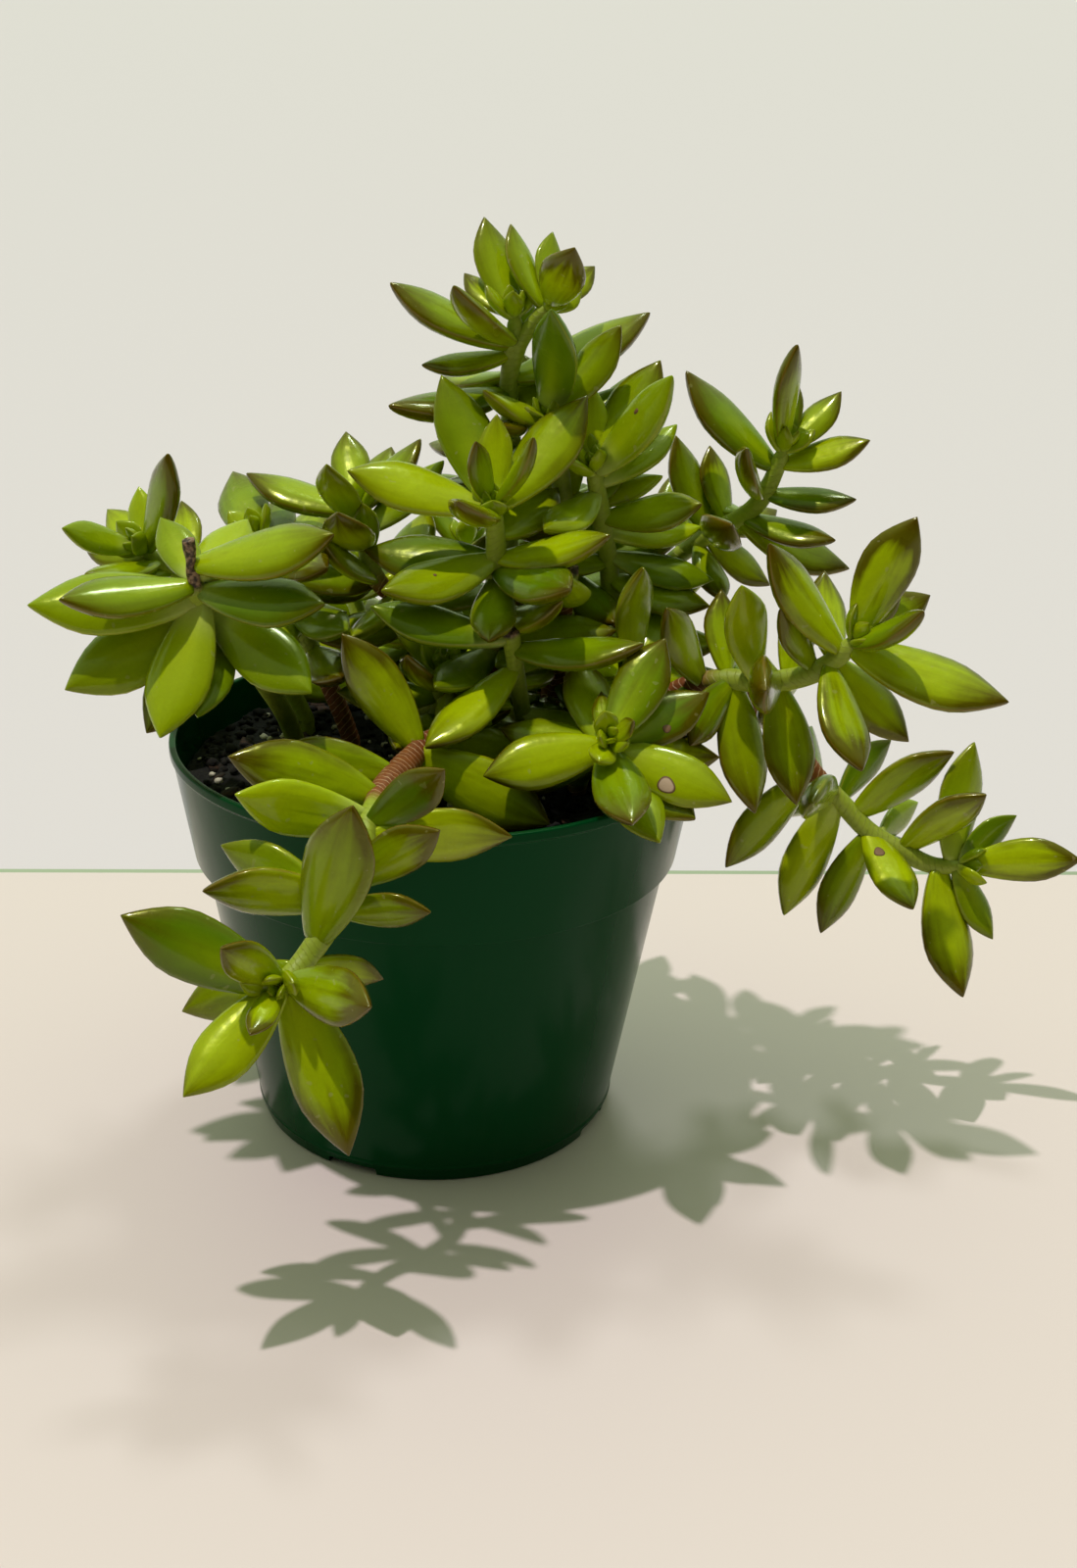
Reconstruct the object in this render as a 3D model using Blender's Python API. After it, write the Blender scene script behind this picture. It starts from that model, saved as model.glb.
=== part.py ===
"""Potted golden sedum: a bushy succulent with trailing stems in a round green nursery pot.

The pot, its filling of potting mix and each leafy stem are separate closed solids.
Units are metres with +Z up. The origin is the centre of the pot's underside, +X is the side
where the long shoot hangs out, and -Y is the side where the short shoot hangs over the rim.
Lengths in the shoot lists are millimetres and angles are degrees.
"""

import math
import random
from collections import namedtuple

import bpy
import bmesh
from mathutils import Vector
from mathutils.bvhtree import BVHTree

MM = 0.001

# Pot: a five inch nursery pot with a plain collar
POT_HEIGHT = 98.0 * MM
RIM_RADIUS = 63.5 * MM
RIM_THICKNESS = 1.6 * MM
RIM_BEAD_HEIGHT = 2.6 * MM
RIM_BEAD_DEPTH = 0.6 * MM
COLLAR_DROP = 28.0 * MM
COLLAR_FOOT_RADIUS = 58.6 * MM
BODY_TOP_RADIUS = 56.6 * MM
BASE_RADIUS = 45.0 * MM
FOOT_HEIGHT = 4.0 * MM
FOOT_INSET = 0.9 * MM
WALL = 1.2 * MM
BASE_THICKNESS = 1.6 * MM
EDGE_ROUNDING = 0.5 * MM
POT_SEGMENTS = 36
DRAIN_SLOTS = 4
DRAIN_SLOT_FIRST_ANGLE = 243.0
DRAIN_SLOT_WIDTH = 13.0 * MM
DRAIN_SLOT_DEPTH = 8.0 * MM
DRAIN_SLOT_HEIGHT = 3.2 * MM
CUTTER_OVERRUN = 3.0 * MM

# Potting mix: its level, the height of its unevenness and the lengths of the waves in it
SOIL_LEVEL = 88.5 * MM
SOIL_BUMP = 1.1 * MM
SOIL_WAVE_X = 11.0 * MM
SOIL_WAVE_Y = 13.0 * MM
SOIL_WAVE_CROSSWISE = 7.0 * MM
SOIL_RING_COUNT = 3

# Gap kept between solids that touch; the sides of a hole lie closer in than its corners
GAP = 0.3 * MM
HOLE_CLEARANCE = 0.36 * MM
LEAF_CLEARANCE = 0.42 * MM

# Stems
STEM_SIDES = 5
STEM_STEP = 9.0 * MM
BUD_LENGTH = 3.0 * MM
BRANCH_RADIUS_SHARE = 0.9
HOLE_RISE = 5.0 * MM

# Leaves: widths and thicknesses as shares of the length or the width
LEAF_WIDTH_SHARE = 0.39
LEAF_WIDTH_SPREAD = (0.94, 1.08)
LEAF_THICKNESS_SHARE = 0.50
LEAF_BASE_WIDTH = 0.28
LEAF_WIDEST_AT = 0.58
LEAF_FULLNESS = 0.9
LEAF_TIP_THINNING = 0.6
LEAF_BOW = 0.035
LEAF_RINGS = (0.0, 0.40, 0.74)
LEAF_SECTION = ((-1.0, 0.0), (0.0, -0.64), (1.0, 0.0), (0.0, 0.34))

# Leaves turn their flat faces up and towards the light in front, each to its own degree
UPWARD_PULL = 0.6
FORWARD_PULL = 0.8
FORWARD_PULL_SPREAD = (0.5, 1.3)
SEED = 11

# Spiral of leaves that fills a shoot: spacing down the stem, and rise and length by age
GOLDEN_ANGLE = 137.5
FILL_SPACING = 3.2
FILL_GROWN_AT = 14.0
FILL_TIP_RISE = 62.0
FILL_GROWN_RISE = 4.0
FILL_TIP_LENGTH = 15.0
FILL_GROWN_LENGTH = 28.0

# How far a leaf may be bent to clear a neighbour, and what a degree of bend and a
# shortening count for when the gentlest change is picked. Leaves of one shoot may
# meet up to SIBLING_START of their length, where they crowd round the stem.
BEND_STEP = 7.0
BEND_STEPS = 5
SHORTENINGS = (1.0, 0.9, 0.8, 0.68)
SHORTENING_COST = 90.0
SIBLING_START = 0.34

# Edges sharper than this stay sharp in the shading
SHARP_ANGLE = 40.0

# Colours are linear RGB
POT_COLOUR = (0.012, 0.045, 0.026)
SOIL_COLOUR = (0.022, 0.014, 0.009)
LEAF_COLOUR = (0.16, 0.27, 0.025)

Shoot = namedtuple("Shoot", "name radius routes leaves fill_from fill_count fill_heading cut facing")
Leaf = namedtuple("Leaf", "root tip upper width")


def shoot(name, routes, leaves=(), fill_from=0.0, fill=0, heading=90.0, radius=2.2, cut=False,
          facing=1.0):
    """One leafy stem: its routes in mm and its leaves as the lists below give them.

    Facing is the share of the usual pull that turns its leaves to the front.
    """
    return Shoot(name, radius * MM, routes, leaves, fill_from, fill, heading, cut, facing)


# Each route starts in the soil and ends at the growing tip. A leaf is
# (millimetres below the tip, heading, rise, length) with heading 0 along +X and 90 along +Y,
# and an optional fifth value for the route that it grows from. The leaves listed are the
# ones that show best. The rest of a shoot is filled by the spiral rule in fill_leaves.
SHOOTS = (
    shoot(
        "front_trailing_stem",
        [[(8, -9, 70), (6, -14, 92), (0, -24, 106), (-7, -38, 104), (-12, -52, 103), (-14, -64, 102.5),
          (-16, -73, 97), (-20, -79, 89), (-26, -84, 81), (-30, -89, 78), (-31, -93, 79)]],
        [(0, 175, 25, 34), (2, 225, 42, 20), (4, 310, 12, 28), (3, 225, -30, 30), (8, 172, -26, 27),
         (4, 311, -58, 37), (1, 250, -13, 15), (8, 25, -20, 20), (14, 330, 74, 34), (22, 152, 18, 29),
         (28, 335, 38, 26), (22, 345, 7, 20), (38, 20, 0, 31), (42, 325, 42, 26), (44, 195, 17, 29),
         (54, 183, 18, 33), (66, 175, 8, 28), (78, 150, 50, 31), (76, 342, -22, 34), (82, 30, -12, 25),
         (88, 60, 60, 12), (32, 118, 8, 20), (24, 183, 10, 28)],
        radius=2.5),
    shoot(
        "front_rosette_stem",
        [[(31, -10, 70), (33, -17, 92), (36, -28, 101), (37, -38, 108), (37, -47, 114)]],
        [(0, 50, 42, 27), (6, 188, -12, 28), (8, 153, 0, 26), (13, 190, -21, 26), (6, 277, -14, 28),
         (6, 336, -16, 30), (5, 25, 18, 27), (11, 294, -18, 28), (14, 318, -25, 27), (12, 14, -8, 28),
         (1, 95, 30, 14), (0, 300, 40, 11), (7, 105, 30, 27)],
        radius=2.3),
    shoot(
        "cut_stem",
        [[(21, -4, 70), (21, -7, 92), (20, -14, 106), (18, -20, 118), (16, -24, 131)]],
        [(2, 178, 12, 32), (5, 337, 10, 31), (10, 222, -25, 30), (15, 62, -7, 22), (18, 95, -20, 22),
         (24, 330, -5, 24), (30, 180, -10, 24), (30, 90, -5, 24)],
        radius=2.1, cut=True, facing=0.3),
    shoot(
        "centre_rosette_stem",
        [[(8, 2, 70), (9, 0, 92), (13, -7, 120), (13, -13, 143), (12, -18, 158)]],
        [(0, 126, 52, 32), (1, 180, 14, 33), (0, 237, 64, 17), (0, 306, 52, 22), (1, 35, 41, 34),
         (0, 85, 60, 20), (2, 250, 18, 26), (14, 208, -8, 29), (15, 165, 0, 31), (14, 332, 18, 29),
         (17, 300, 6, 30), (19, 265, -16, 26), (8, 55, 12, 27), (24, 135, -8, 26), (30, 298, 2, 26),
         (38, 245, -5, 26)],
        fill_from=34, fill=3, heading=20, radius=2.4),
    shoot(
        "back_cluster_stem",
        [[(24, 13, 70), (25, 12, 92), (32, 13, 125), (29, 9, 154), (25, 5, 173)]],
        [(0, 266, 58, 31), (0, 6, 52, 26), (1, 219, 24, 22), (24, 285, 72, 28), (20, 117, 5, 27),
         (27, 32, -6, 26), (28, 125, -15, 25), (6, 62, -4, 24), (5, 135, 10, 25), (36, 334, 17, 36),
         (38, 234, -8, 25), (12, 200, 10, 26), (22, 325, 2, 24), (40, 298, -6, 25)],
        fill_from=44, fill=5, heading=60, radius=2.3),
    shoot(
        "right_cluster_stem",
        [[(40, 7, 70), (40, 8, 92), (41, 8, 130), (38, 4, 149), (35, 0, 163)]],
        [(0, 40, 50, 29), (2, 331, 53, 30), (5, 36, 24, 27), (10, 40, 14, 25), (3, 60, 13, 32),
         (18, 28, -2, 26), (7, 236, -10, 24), (1, 99, 40, 24), (24, 15, -12, 26), (16, 100, 0, 26),
         (26, 200, -10, 24), (14, 335, 14, 25)],
        fill_from=30, fill=6, heading=340, radius=2.3),
    shoot(
        "top_stem",
        [[(14, 19, 70), (14, 18, 92), (17, 17, 140), (17, 14, 165), (16, 12, 178), (17, 10, 189),
          (17, 9, 196)],
         [(16.5, 11, 183), (18, 10, 188), (21, 9, 193), (25, 8, 198)]],
        [(1, 117, 52, 25), (7, 232, 32, 27), (8, 178, 25, 31), (1, 134, 52, 18), (2, 132, 42, 21, 1),
         (0, 280, 35, 25, 1), (0, 87, 52, 18, 1), (1, 47, 24, 18, 1), (11, 75, 45, 12, 1),
         (10, 182, -8, 21), (19, 208, -2, 31), (15, 128, -10, 25), (16, 10, 22, 37),
         (24, 62, -15, 26), (29, 140, -15, 26), (25, 300, 5, 26)],
        fill_from=36, fill=5, heading=100, radius=2.2, facing=0.4),
    shoot(
        "right_back_stem",
        [[(47, 22, 70), (47, 24, 92), (48, 26, 114), (54, 24, 130), (65, 18, 142), (74, 14, 149),
          (78, 12, 156), (81, 10, 166)]],
        [(1, 271, 76, 26), (6, 163, 43, 31), (1, 28, 38, 20), (0, 75, 55, 17), (5, 350, 18, 22),
         (14, 249, 38, 25), (13, 346, 0, 22), (30, 150, 65, 25), (25, 112, 50, 20), (29, 270, 18, 28),
         (21, 330, -6, 24), (34, 285, -28, 20), (31, 13, -38, 22), (38, 95, 34, 25),
         (27, 43, 2, 22), (22, 2, -24, 31), (48, 228, 30, 20), (20, 120, 10, 24)],
        fill_from=50, fill=1, heading=100, radius=2.2),
    shoot(
        "right_middle_stem",
        [[(46, -7, 70), (46, -8, 92), (49, -10, 105), (56, -12, 113), (65, -16, 117), (74, -20, 118),
          (83, -24, 121), (89, -27, 126), (93, -29, 132)]],
        [(0, 15, 66, 29), (5, 190, 53, 32), (2, 302, 32, 24), (1, 30, 18, 23), (0, 38, 32, 23),
         (3, 338, -13, 37), (9, 280, -36, 29), (8, 350, -45, 26), (12, 8, -24, 25), (27, 230, 68, 27),
         (22, 254, 14, 31), (23, 290, -62, 29), (33, 290, -62, 31), (40, 223, 55, 26), (13, 216, 52, 21),
         (33, 235, -34, 22), (34, 95, 55, 22), (8, 90, 40, 24), (44, 257, -20, 20), (20, 66, 44, 25),
         (17, 109, -50, 24), (28, 100, 0, 24)],
        radius=2.5, facing=2.5),
    shoot(
        "right_trailing_stem",
        [[(48, 3, 70), (49, 3, 92), (54, 4, 102), (64, 5, 108), (76, 5, 104), (87, 4, 94), (93, 3, 86),
          (100, 2, 79), (107, 0, 72), (115, -3, 68), (123, -5, 65), (130, -7, 66)]],
        [(0, 344, 10, 28), (1, 20, 36, 19), (3, 64, 66, 31), (16, 338, 45, 27), (6, 286, -58, 33),
         (2, 329, -57, 21), (26, 289, -25, 26), (37, 219, -58, 32), (25, 217, -57, 28), (38, 246, 17, 28),
         (31, 0, 36, 29), (22, 50, 10, 20), (36, 40, 32, 22), (46, 200, -44, 32), (44, 87, 20, 20),
         (34, 130, -25, 22), (12, 110, -20, 24), (56, 112, -40, 24), (62, 72, 12, 24), (64, 280, 0, 22)],
        radius=2.4, facing=2.5),
    shoot(
        "left_cluster_stem",
        [[(-33, 12, 70), (-35, 10, 92), (-41, -4, 112), (-48, -20, 131), (-52, -29, 141), (-53, -32, 153)]],
        [(6, 346, 16, 33), (12, 340, 0, 30), (20, 322, -24, 32), (15, 249, -50, 33), (11, 207, 1, 30),
         (10, 118, 25, 22), (15, 185, -2, 37), (20, 197, -26, 36), (23, 168, -20, 28), (28, 232, -36, 31),
         (26, 262, -25, 27), (9, 75, 15, 26), (18, 80, 0, 26)],
        radius=2.3, cut=True),
    shoot(
        "left_back_stem",
        [[(-32, 23, 70), (-33, 23, 92), (-48, 20, 118), (-60, 14, 131), (-70, 8, 140)]],
        [(2, 317, 68, 27), (0, 121, 16, 19), (1, 98, 40, 16), (0, 215, 22, 20), (3, 150, 4, 22),
         (5, 165, -10, 24), (6, 235, 5, 24), (10, 215, 0, 22), (13, 95, 33, 24), (16, 250, -15, 24),
         (18, 130, -20, 24), (12, 20, 5, 24)],
        fill_from=24, fill=3, heading=80, radius=2.0),
    shoot(
        "left_middle_stem",
        [[(-20, 8, 70), (-21, 8, 92), (-32, 8, 120), (-38, 4, 137), (-42, 2, 146)]],
        [(1, 106, 15, 31), (4, 85, 12, 25), (8, 73, 22, 28), (7, 58, 15, 24), (12, 0, 3, 26),
         (6, 185, -5, 22), (6, 304, 6, 27), (22, 302, 4, 26), (13, 130, -10, 25), (26, 246, 0, 25),
         (16, 30, -5, 25)],
        fill_from=30, fill=2, heading=150, radius=2.2),
    shoot(
        "left_upper_stem",
        [[(0, 11, 70), (0, 10, 92), (1, 8, 118), (-3, 6, 128), (-11, 4, 131), (-15, 3, 136),
          (-17, 5, 143), (-19, 7, 152)]],
        [(2, 160, 12, 29), (4, 249, 42, 25), (0, 100, 35, 22), (10, 256, 30, 26), (12, 255, 60, 20),
         (1, 30, 40, 22), (2, 69, 28, 23), (7, 12, 40, 25), (19, 230, 56, 24), (20, 61, 8, 26),
         (24, 247, -10, 23), (30, 72, 18, 22)],
        fill_from=34, fill=3, heading=200, radius=2.2),
    shoot(
        "front_low_stem",
        [[(-3, -3, 70), (-3, -4, 92), (0, -8, 106), (1, -11, 118)]],
        [(2, 160, 52, 22), (5, 254, 34, 23), (2, 303, 28, 22), (8, 298, 12, 23), (2, 79, 30, 22),
         (10, 130, -15, 24), (8, 190, 5, 24), (14, 250, 10, 26), (16, 330, 0, 26),
         (20, 60, 0, 24)],
        radius=2.1),
    shoot(
        "right_low_stem",
        [[(38, -5, 70), (38, -6, 92), (44, -8, 107), (46, -8, 118)]],
        [(0, 270, 72, 27), (2, 55, 37, 25), (3, 111, 26, 22), (6, 300, 0, 23), (6, 228, 18, 23),
         (4, 20, 5, 24), (10, 150, -10, 22), (14, 340, 0, 24), (16, 210, 5, 24)],
        radius=2.1),
    shoot(
        "middle_bare_stem",
        [[(26, 2, 70), (26, 2, 92), (29, 0, 112), (29, -2, 126), (31, -3, 140)]],
        [(8, 267, 20, 26), (11, 350, -8, 24), (15, 112, 10, 24), (18, 291, -6, 24), (20, 235, 2, 24),
         (26, 150, 0, 24), (30, 330, 0, 24), (34, 260, 10, 24)],
        radius=2.2, cut=True),
    shoot(
        "back_left_stem",
        [[(-14, 33, 70), (-14, 34, 92), (-19, 40, 110), (-24, 44, 124)]],
        fill=11, heading=40),
    shoot(
        "back_middle_stem",
        [[(8, 36, 70), (8, 37, 92), (8, 44, 114), (7, 49, 132)]],
        fill=12, heading=10),
    shoot(
        "back_right_stem",
        [[(31, 33, 70), (31, 34, 92), (36, 40, 108), (39, 45, 120)]],
        fill=11, heading=100),
    shoot(
        "back_trailing_stem",
        [[(-2, 46, 70), (-2, 47, 92), (-5, 56, 103), (-9, 66, 104), (-13, 75, 98), (-16, 81, 90),
          (-18, 86, 86)]],
        fill=13, heading=158, radius=2.3),
)


def material(name, colour, roughness):
    """Plain Principled material in the piece's main colour."""
    made = bpy.data.materials.new(name)
    made.use_nodes = True
    shader = made.node_tree.nodes["Principled BSDF"]
    shader.inputs["Base Color"].default_value = (*colour, 1.0)
    shader.inputs["Roughness"].default_value = roughness
    shader.inputs["Metallic"].default_value = 0.0
    return made


def mesh_object(name, solid, shade=None):
    """Object from a pair of vertex and face lists, with its faces turned outwards."""
    mesh = bpy.data.meshes.new(name)
    mesh.from_pydata(solid[0], [], solid[1])
    work = bmesh.new()
    work.from_mesh(mesh)
    bmesh.ops.recalc_face_normals(work, faces=work.faces)
    work.to_mesh(mesh)
    work.free()
    made = bpy.data.objects.new(name, mesh)
    bpy.context.scene.collection.objects.link(made)
    if shade:
        mesh.materials.append(shade)
    return made


def join_rings(rings, closed_start, closed_end):
    """Vertices and faces of a skin over rings of equal length, each a list of points."""
    sides = len(rings[0])
    points = [point for ring in rings for point in ring]
    faces = []
    for row in range(len(rings) - 1):
        for side in range(sides):
            after = (side + 1) % sides
            first = row * sides
            faces.append((first + side, first + after, first + sides + after, first + sides + side))
    if closed_start:
        faces.append(tuple(range(sides)))
    if closed_end:
        faces.append(tuple(range((len(rings) - 1) * sides, len(rings) * sides)))
    return points, faces


def turned_solid(profile, segments, height_at=None):
    """Closed solid of an outline of (radius, height) that starts and ends on the Z axis."""
    points = []
    rows = []
    for radius, height in profile:
        row = []
        for step in range(segments if radius > 0 else 1):
            angle = math.tau * step / segments
            x = radius * math.cos(angle)
            y = radius * math.sin(angle)
            row.append(len(points))
            points.append((x, y, height_at(x, y, height) if height_at else height))
        rows.append(row)
    faces = []
    for first, second in zip(rows, rows[1:]):
        for step in range(segments):
            after = (step + 1) % segments
            if len(first) == 1:
                faces.append((first[0], second[step], second[after]))
            elif len(second) == 1:
                faces.append((first[step], first[after], second[0]))
            else:
                faces.append((first[step], first[after], second[after], second[step]))
    return points, faces


def combine(target, others, operation):
    """Apply one exact Boolean between an object and a list of objects, which are then removed."""
    group = bpy.data.collections.new(target.name + "_operands")
    bpy.context.scene.collection.children.link(group)
    for other in others:
        group.objects.link(other)
    boolean = target.modifiers.new("combine", "BOOLEAN")
    boolean.operand_type = "COLLECTION"
    boolean.collection = group
    boolean.operation = operation
    boolean.solver = "EXACT"
    bpy.context.view_layer.update()
    result = target.evaluated_get(bpy.context.evaluated_depsgraph_get())
    mesh = bpy.data.meshes.new_from_object(result)
    target.modifiers.remove(boolean)
    target.data = mesh
    for other in list(group.objects):
        bpy.data.objects.remove(other)
    bpy.data.collections.remove(group)


def keep_outer_skin(made):
    """Drop sealed hollows and loose scraps, so that only the largest skin is left."""
    work = bmesh.new()
    work.from_mesh(made.data)
    unseen = set(work.faces)
    skins = []
    while unseen:
        skin = [unseen.pop()]
        for face in skin:
            for edge in face.edges:
                for neighbour in edge.link_faces:
                    if neighbour in unseen:
                        unseen.remove(neighbour)
                        skin.append(neighbour)
        skins.append(skin)
    skins.sort(key=len)
    for skin in skins[:-1]:
        bmesh.ops.delete(work, geom=skin, context="FACES")
    work.to_mesh(made.data)
    work.free()


def wall_radius(height):
    """Outer radius of the pot's tapered body at a height between foot and collar."""
    share = (height - FOOT_HEIGHT) / (POT_HEIGHT - COLLAR_DROP - FOOT_HEIGHT)
    return BASE_RADIUS + share * (BODY_TOP_RADIUS - BASE_RADIUS)


def collar_radius(height):
    """Outer radius of the collar below its bead."""
    share = (height - POT_HEIGHT + COLLAR_DROP) / (COLLAR_DROP - RIM_BEAD_HEIGHT)
    return COLLAR_FOOT_RADIUS + share * (RIM_RADIUS - RIM_BEAD_DEPTH - COLLAR_FOOT_RADIUS)


def pot_inner_outline():
    """Inside of the pot from its floor to its rim, as (radius, height) points."""
    collar_foot = POT_HEIGHT - COLLAR_DROP
    return [
        (BASE_RADIUS - WALL - FOOT_INSET, BASE_THICKNESS),
        (wall_radius(FOOT_HEIGHT) - WALL, FOOT_HEIGHT + EDGE_ROUNDING),
        (BODY_TOP_RADIUS - WALL, collar_foot),
        (COLLAR_FOOT_RADIUS - WALL, collar_foot + WALL + EDGE_ROUNDING),
        (RIM_RADIUS - RIM_THICKNESS, POT_HEIGHT),
    ]


def drain_slot(angle):
    """Cutter for one slot through the corner between the pot's wall and floor."""
    outer = BASE_RADIUS + CUTTER_OVERRUN
    inner = BASE_RADIUS - DRAIN_SLOT_DEPTH
    half = DRAIN_SLOT_WIDTH / 2
    along = Vector((math.cos(angle), math.sin(angle), 0.0))
    across = Vector((-along.y, along.x, 0.0))
    rings = []
    for height in (-CUTTER_OVERRUN, DRAIN_SLOT_HEIGHT):
        level = Vector((0.0, 0.0, height))
        rings.append([along * inner - across * half + level, along * outer - across * half + level,
                      along * outer + across * half + level, along * inner + across * half + level])
    cutter = mesh_object("drain_slot_cutter", join_rings(rings, True, True))
    cutter.hide_render = True
    cutter.display_type = "WIRE"
    return cutter


def build_pot():
    """Round pot with a stepped collar, a beaded rim, an inset foot and four drain slots."""
    collar_foot = POT_HEIGHT - COLLAR_DROP
    bead_foot = POT_HEIGHT - RIM_BEAD_HEIGHT
    foot_radius = BASE_RADIUS - FOOT_INSET
    outer = [
        (0.0, 0.0),
        (foot_radius - EDGE_ROUNDING, 0.0),
        (foot_radius, EDGE_ROUNDING),
        (foot_radius, FOOT_HEIGHT - EDGE_ROUNDING),
        (BASE_RADIUS, FOOT_HEIGHT),
        (BODY_TOP_RADIUS, collar_foot),
        (COLLAR_FOOT_RADIUS - EDGE_ROUNDING, collar_foot),
        (COLLAR_FOOT_RADIUS, collar_foot + EDGE_ROUNDING),
        (RIM_RADIUS - RIM_BEAD_DEPTH, bead_foot),
        (RIM_RADIUS, bead_foot + EDGE_ROUNDING),
        (RIM_RADIUS, POT_HEIGHT - EDGE_ROUNDING),
        (RIM_RADIUS - EDGE_ROUNDING, POT_HEIGHT),
    ]
    outline = outer + list(reversed(pot_inner_outline())) + [(0.0, BASE_THICKNESS)]
    pot = mesh_object("pot", turned_solid(outline, POT_SEGMENTS), material("pot_plastic", POT_COLOUR, 0.28))
    first = math.radians(DRAIN_SLOT_FIRST_ANGLE)
    slots = [drain_slot(first + math.tau * count / DRAIN_SLOTS) for count in range(DRAIN_SLOTS)]
    combine(pot, slots, "DIFFERENCE")
    return pot


def soil_height(x, y, height):
    """Gently uneven top of the potting mix; the rest of the filling stays as given."""
    if height < SOIL_LEVEL:
        return height
    wide = math.sin(x / SOIL_WAVE_X + 0.6) * math.cos(y / SOIL_WAVE_Y)
    fine = math.sin((x + y) / SOIL_WAVE_CROSSWISE)
    return height + SOIL_BUMP * (wide + 0.6 * fine)


def build_soil(stems):
    """Potting mix that fills the pot, with a plain hole for each stem."""
    inner = pot_inner_outline()
    rim_share = (SOIL_LEVEL - inner[-2][1]) / (inner[-1][1] - inner[-2][1])
    edge = inner[-2][0] + rim_share * (inner[-1][0] - inner[-2][0]) - GAP
    outline = [(0.0, inner[0][1] + GAP)]
    outline += [(radius - GAP, height + GAP) for radius, height in inner[:-1]]
    outline += [(edge * (1 - step / SOIL_RING_COUNT), SOIL_LEVEL) for step in range(SOIL_RING_COUNT + 1)]
    soil = mesh_object("soil", turned_solid(outline, POT_SEGMENTS, soil_height),
                       material("potting_mix", SOIL_COLOUR, 0.95))
    combine(soil, [hole_cutter(plan.routes[0], plan.radius) for plan in stems], "DIFFERENCE")
    return soil


def hole_cutter(route, radius):
    """Cutter for the hole that a stem stands in, a gap wider than the stem all round."""
    foot = Vector(route[0]) * MM
    top = Vector(route[1]) * MM
    along = (top - foot).normalized()
    path = [foot - along * GAP, top + along * HOLE_RISE]
    cutter = mesh_object("stem_hole_cutter", tube_solid(path, radius + HOLE_CLEARANCE, True))
    cutter.hide_render = True
    cutter.display_type = "WIRE"
    return cutter


def smooth_route(route):
    """Points along a smooth curve through a route, which stays straight inside the soil."""
    marks = [Vector(point) * MM for point in route]
    ends = [marks[0] * 2 - marks[1], *marks, marks[-1] * 2 - marks[-2]]
    path = [marks[0]]
    for index in range(1, len(ends) - 2):
        before, start, end, after = ends[index - 1:index + 3]
        pieces = 1 if index == 1 else max(1, round((end - start).length / STEM_STEP))
        for piece in range(1, pieces + 1):
            share = piece / pieces
            path.append(0.5 * (2 * start + (end - before) * share
                               + (2 * before - 5 * start + 4 * end - after) * share ** 2
                               + (3 * start - before - 3 * end + after) * share ** 3))
    return path


def tube_solid(path, radius, flat_end):
    """Tube of a few sides along a path; its far end is flat, or a small pointed bud."""
    rings = []
    side = Vector((1.0, 0.0, 0.0))
    for index, point in enumerate(path):
        ahead = path[min(index + 1, len(path) - 1)] - path[max(index - 1, 0)]
        ahead.normalize()
        side = (side - ahead * side.dot(ahead)).normalized()
        other = ahead.cross(side)
        turns = [math.tau * step / STEM_SIDES for step in range(STEM_SIDES)]
        rings.append([point + (side * math.cos(turn) + other * math.sin(turn)) * radius for turn in turns])
    points, faces = join_rings(rings, True, flat_end)
    if not flat_end:
        last = len(points) - STEM_SIDES
        points.append(path[-1] + ahead * BUD_LENGTH)
        for step in range(STEM_SIDES):
            faces.append((last + step, last + (step + 1) % STEM_SIDES, len(points) - 1))
    return points, faces


def leaf_width_at(share):
    """Width of a leaf along its length, as a share of its greatest width."""
    if share < LEAF_WIDEST_AT:
        swell = math.sin(math.pi / 2 * share / LEAF_WIDEST_AT) ** LEAF_FULLNESS
        return LEAF_BASE_WIDTH + (1 - LEAF_BASE_WIDTH) * swell
    taper = (share - LEAF_WIDEST_AT) / (1 - LEAF_WIDEST_AT)
    return max(0.0, 1 - taper ** 2) ** LEAF_FULLNESS


def leaf_solid(leaf, grow=0.0, start=0.0):
    """Thick pointed leaf: flat above, keeled below, bowed so that its tip curves up."""
    reach = leaf.tip - leaf.root
    length = reach.length
    along = reach / length
    across = along.cross(leaf.upper).normalized()
    thickness = leaf.width * LEAF_THICKNESS_SHARE
    rings = []
    for share in LEAF_RINGS:
        share = start + share * (1 - start)
        width = leaf_width_at(share)
        sag = LEAF_BOW * length * 4 * share * (1 - share)
        centre = leaf.root + reach * share - leaf.upper * sag
        half = leaf.width / 2 * width + grow
        deep = thickness * width ** LEAF_TIP_THINNING + grow
        rings.append([centre + across * half * side + leaf.upper * deep * height
                      for side, height in LEAF_SECTION])
    points, faces = join_rings(rings, True, False)
    last = len(points) - len(LEAF_SECTION)
    points.append(leaf.tip + along * grow)
    for side in range(len(LEAF_SECTION)):
        faces.append((last + side, last + (side + 1) % len(LEAF_SECTION), len(points) - 1))
    return points, faces


def make_leaf(path, spec, width_share, facing):
    """Leaf that leaves a stem's path a distance below its tip, towards a heading and rise."""
    below_tip, heading, rise, length = spec
    left = below_tip * MM
    index = len(path) - 1
    while index > 1 and (path[index] - path[index - 1]).length < left:
        left -= (path[index] - path[index - 1]).length
        index -= 1
    tangent = (path[index] - path[index - 1]).normalized()
    root = path[index] - tangent * left
    turn = math.radians(heading)
    lift = math.radians(rise)
    along = Vector((math.cos(turn) * math.cos(lift), math.sin(turn) * math.cos(lift), math.sin(lift)))
    upper = tangent + Vector((0.0, -facing, UPWARD_PULL))
    upper = (upper - along * upper.dot(along)).normalized()
    return Leaf(root, root + along * length * MM, upper, length * MM * width_share)


def solid_tree(solid):
    """Search tree over a solid's faces for crossing tests."""
    return BVHTree.FromPolygons([tuple(point) for point in solid[0]], solid[1], epsilon=0.0)


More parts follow.
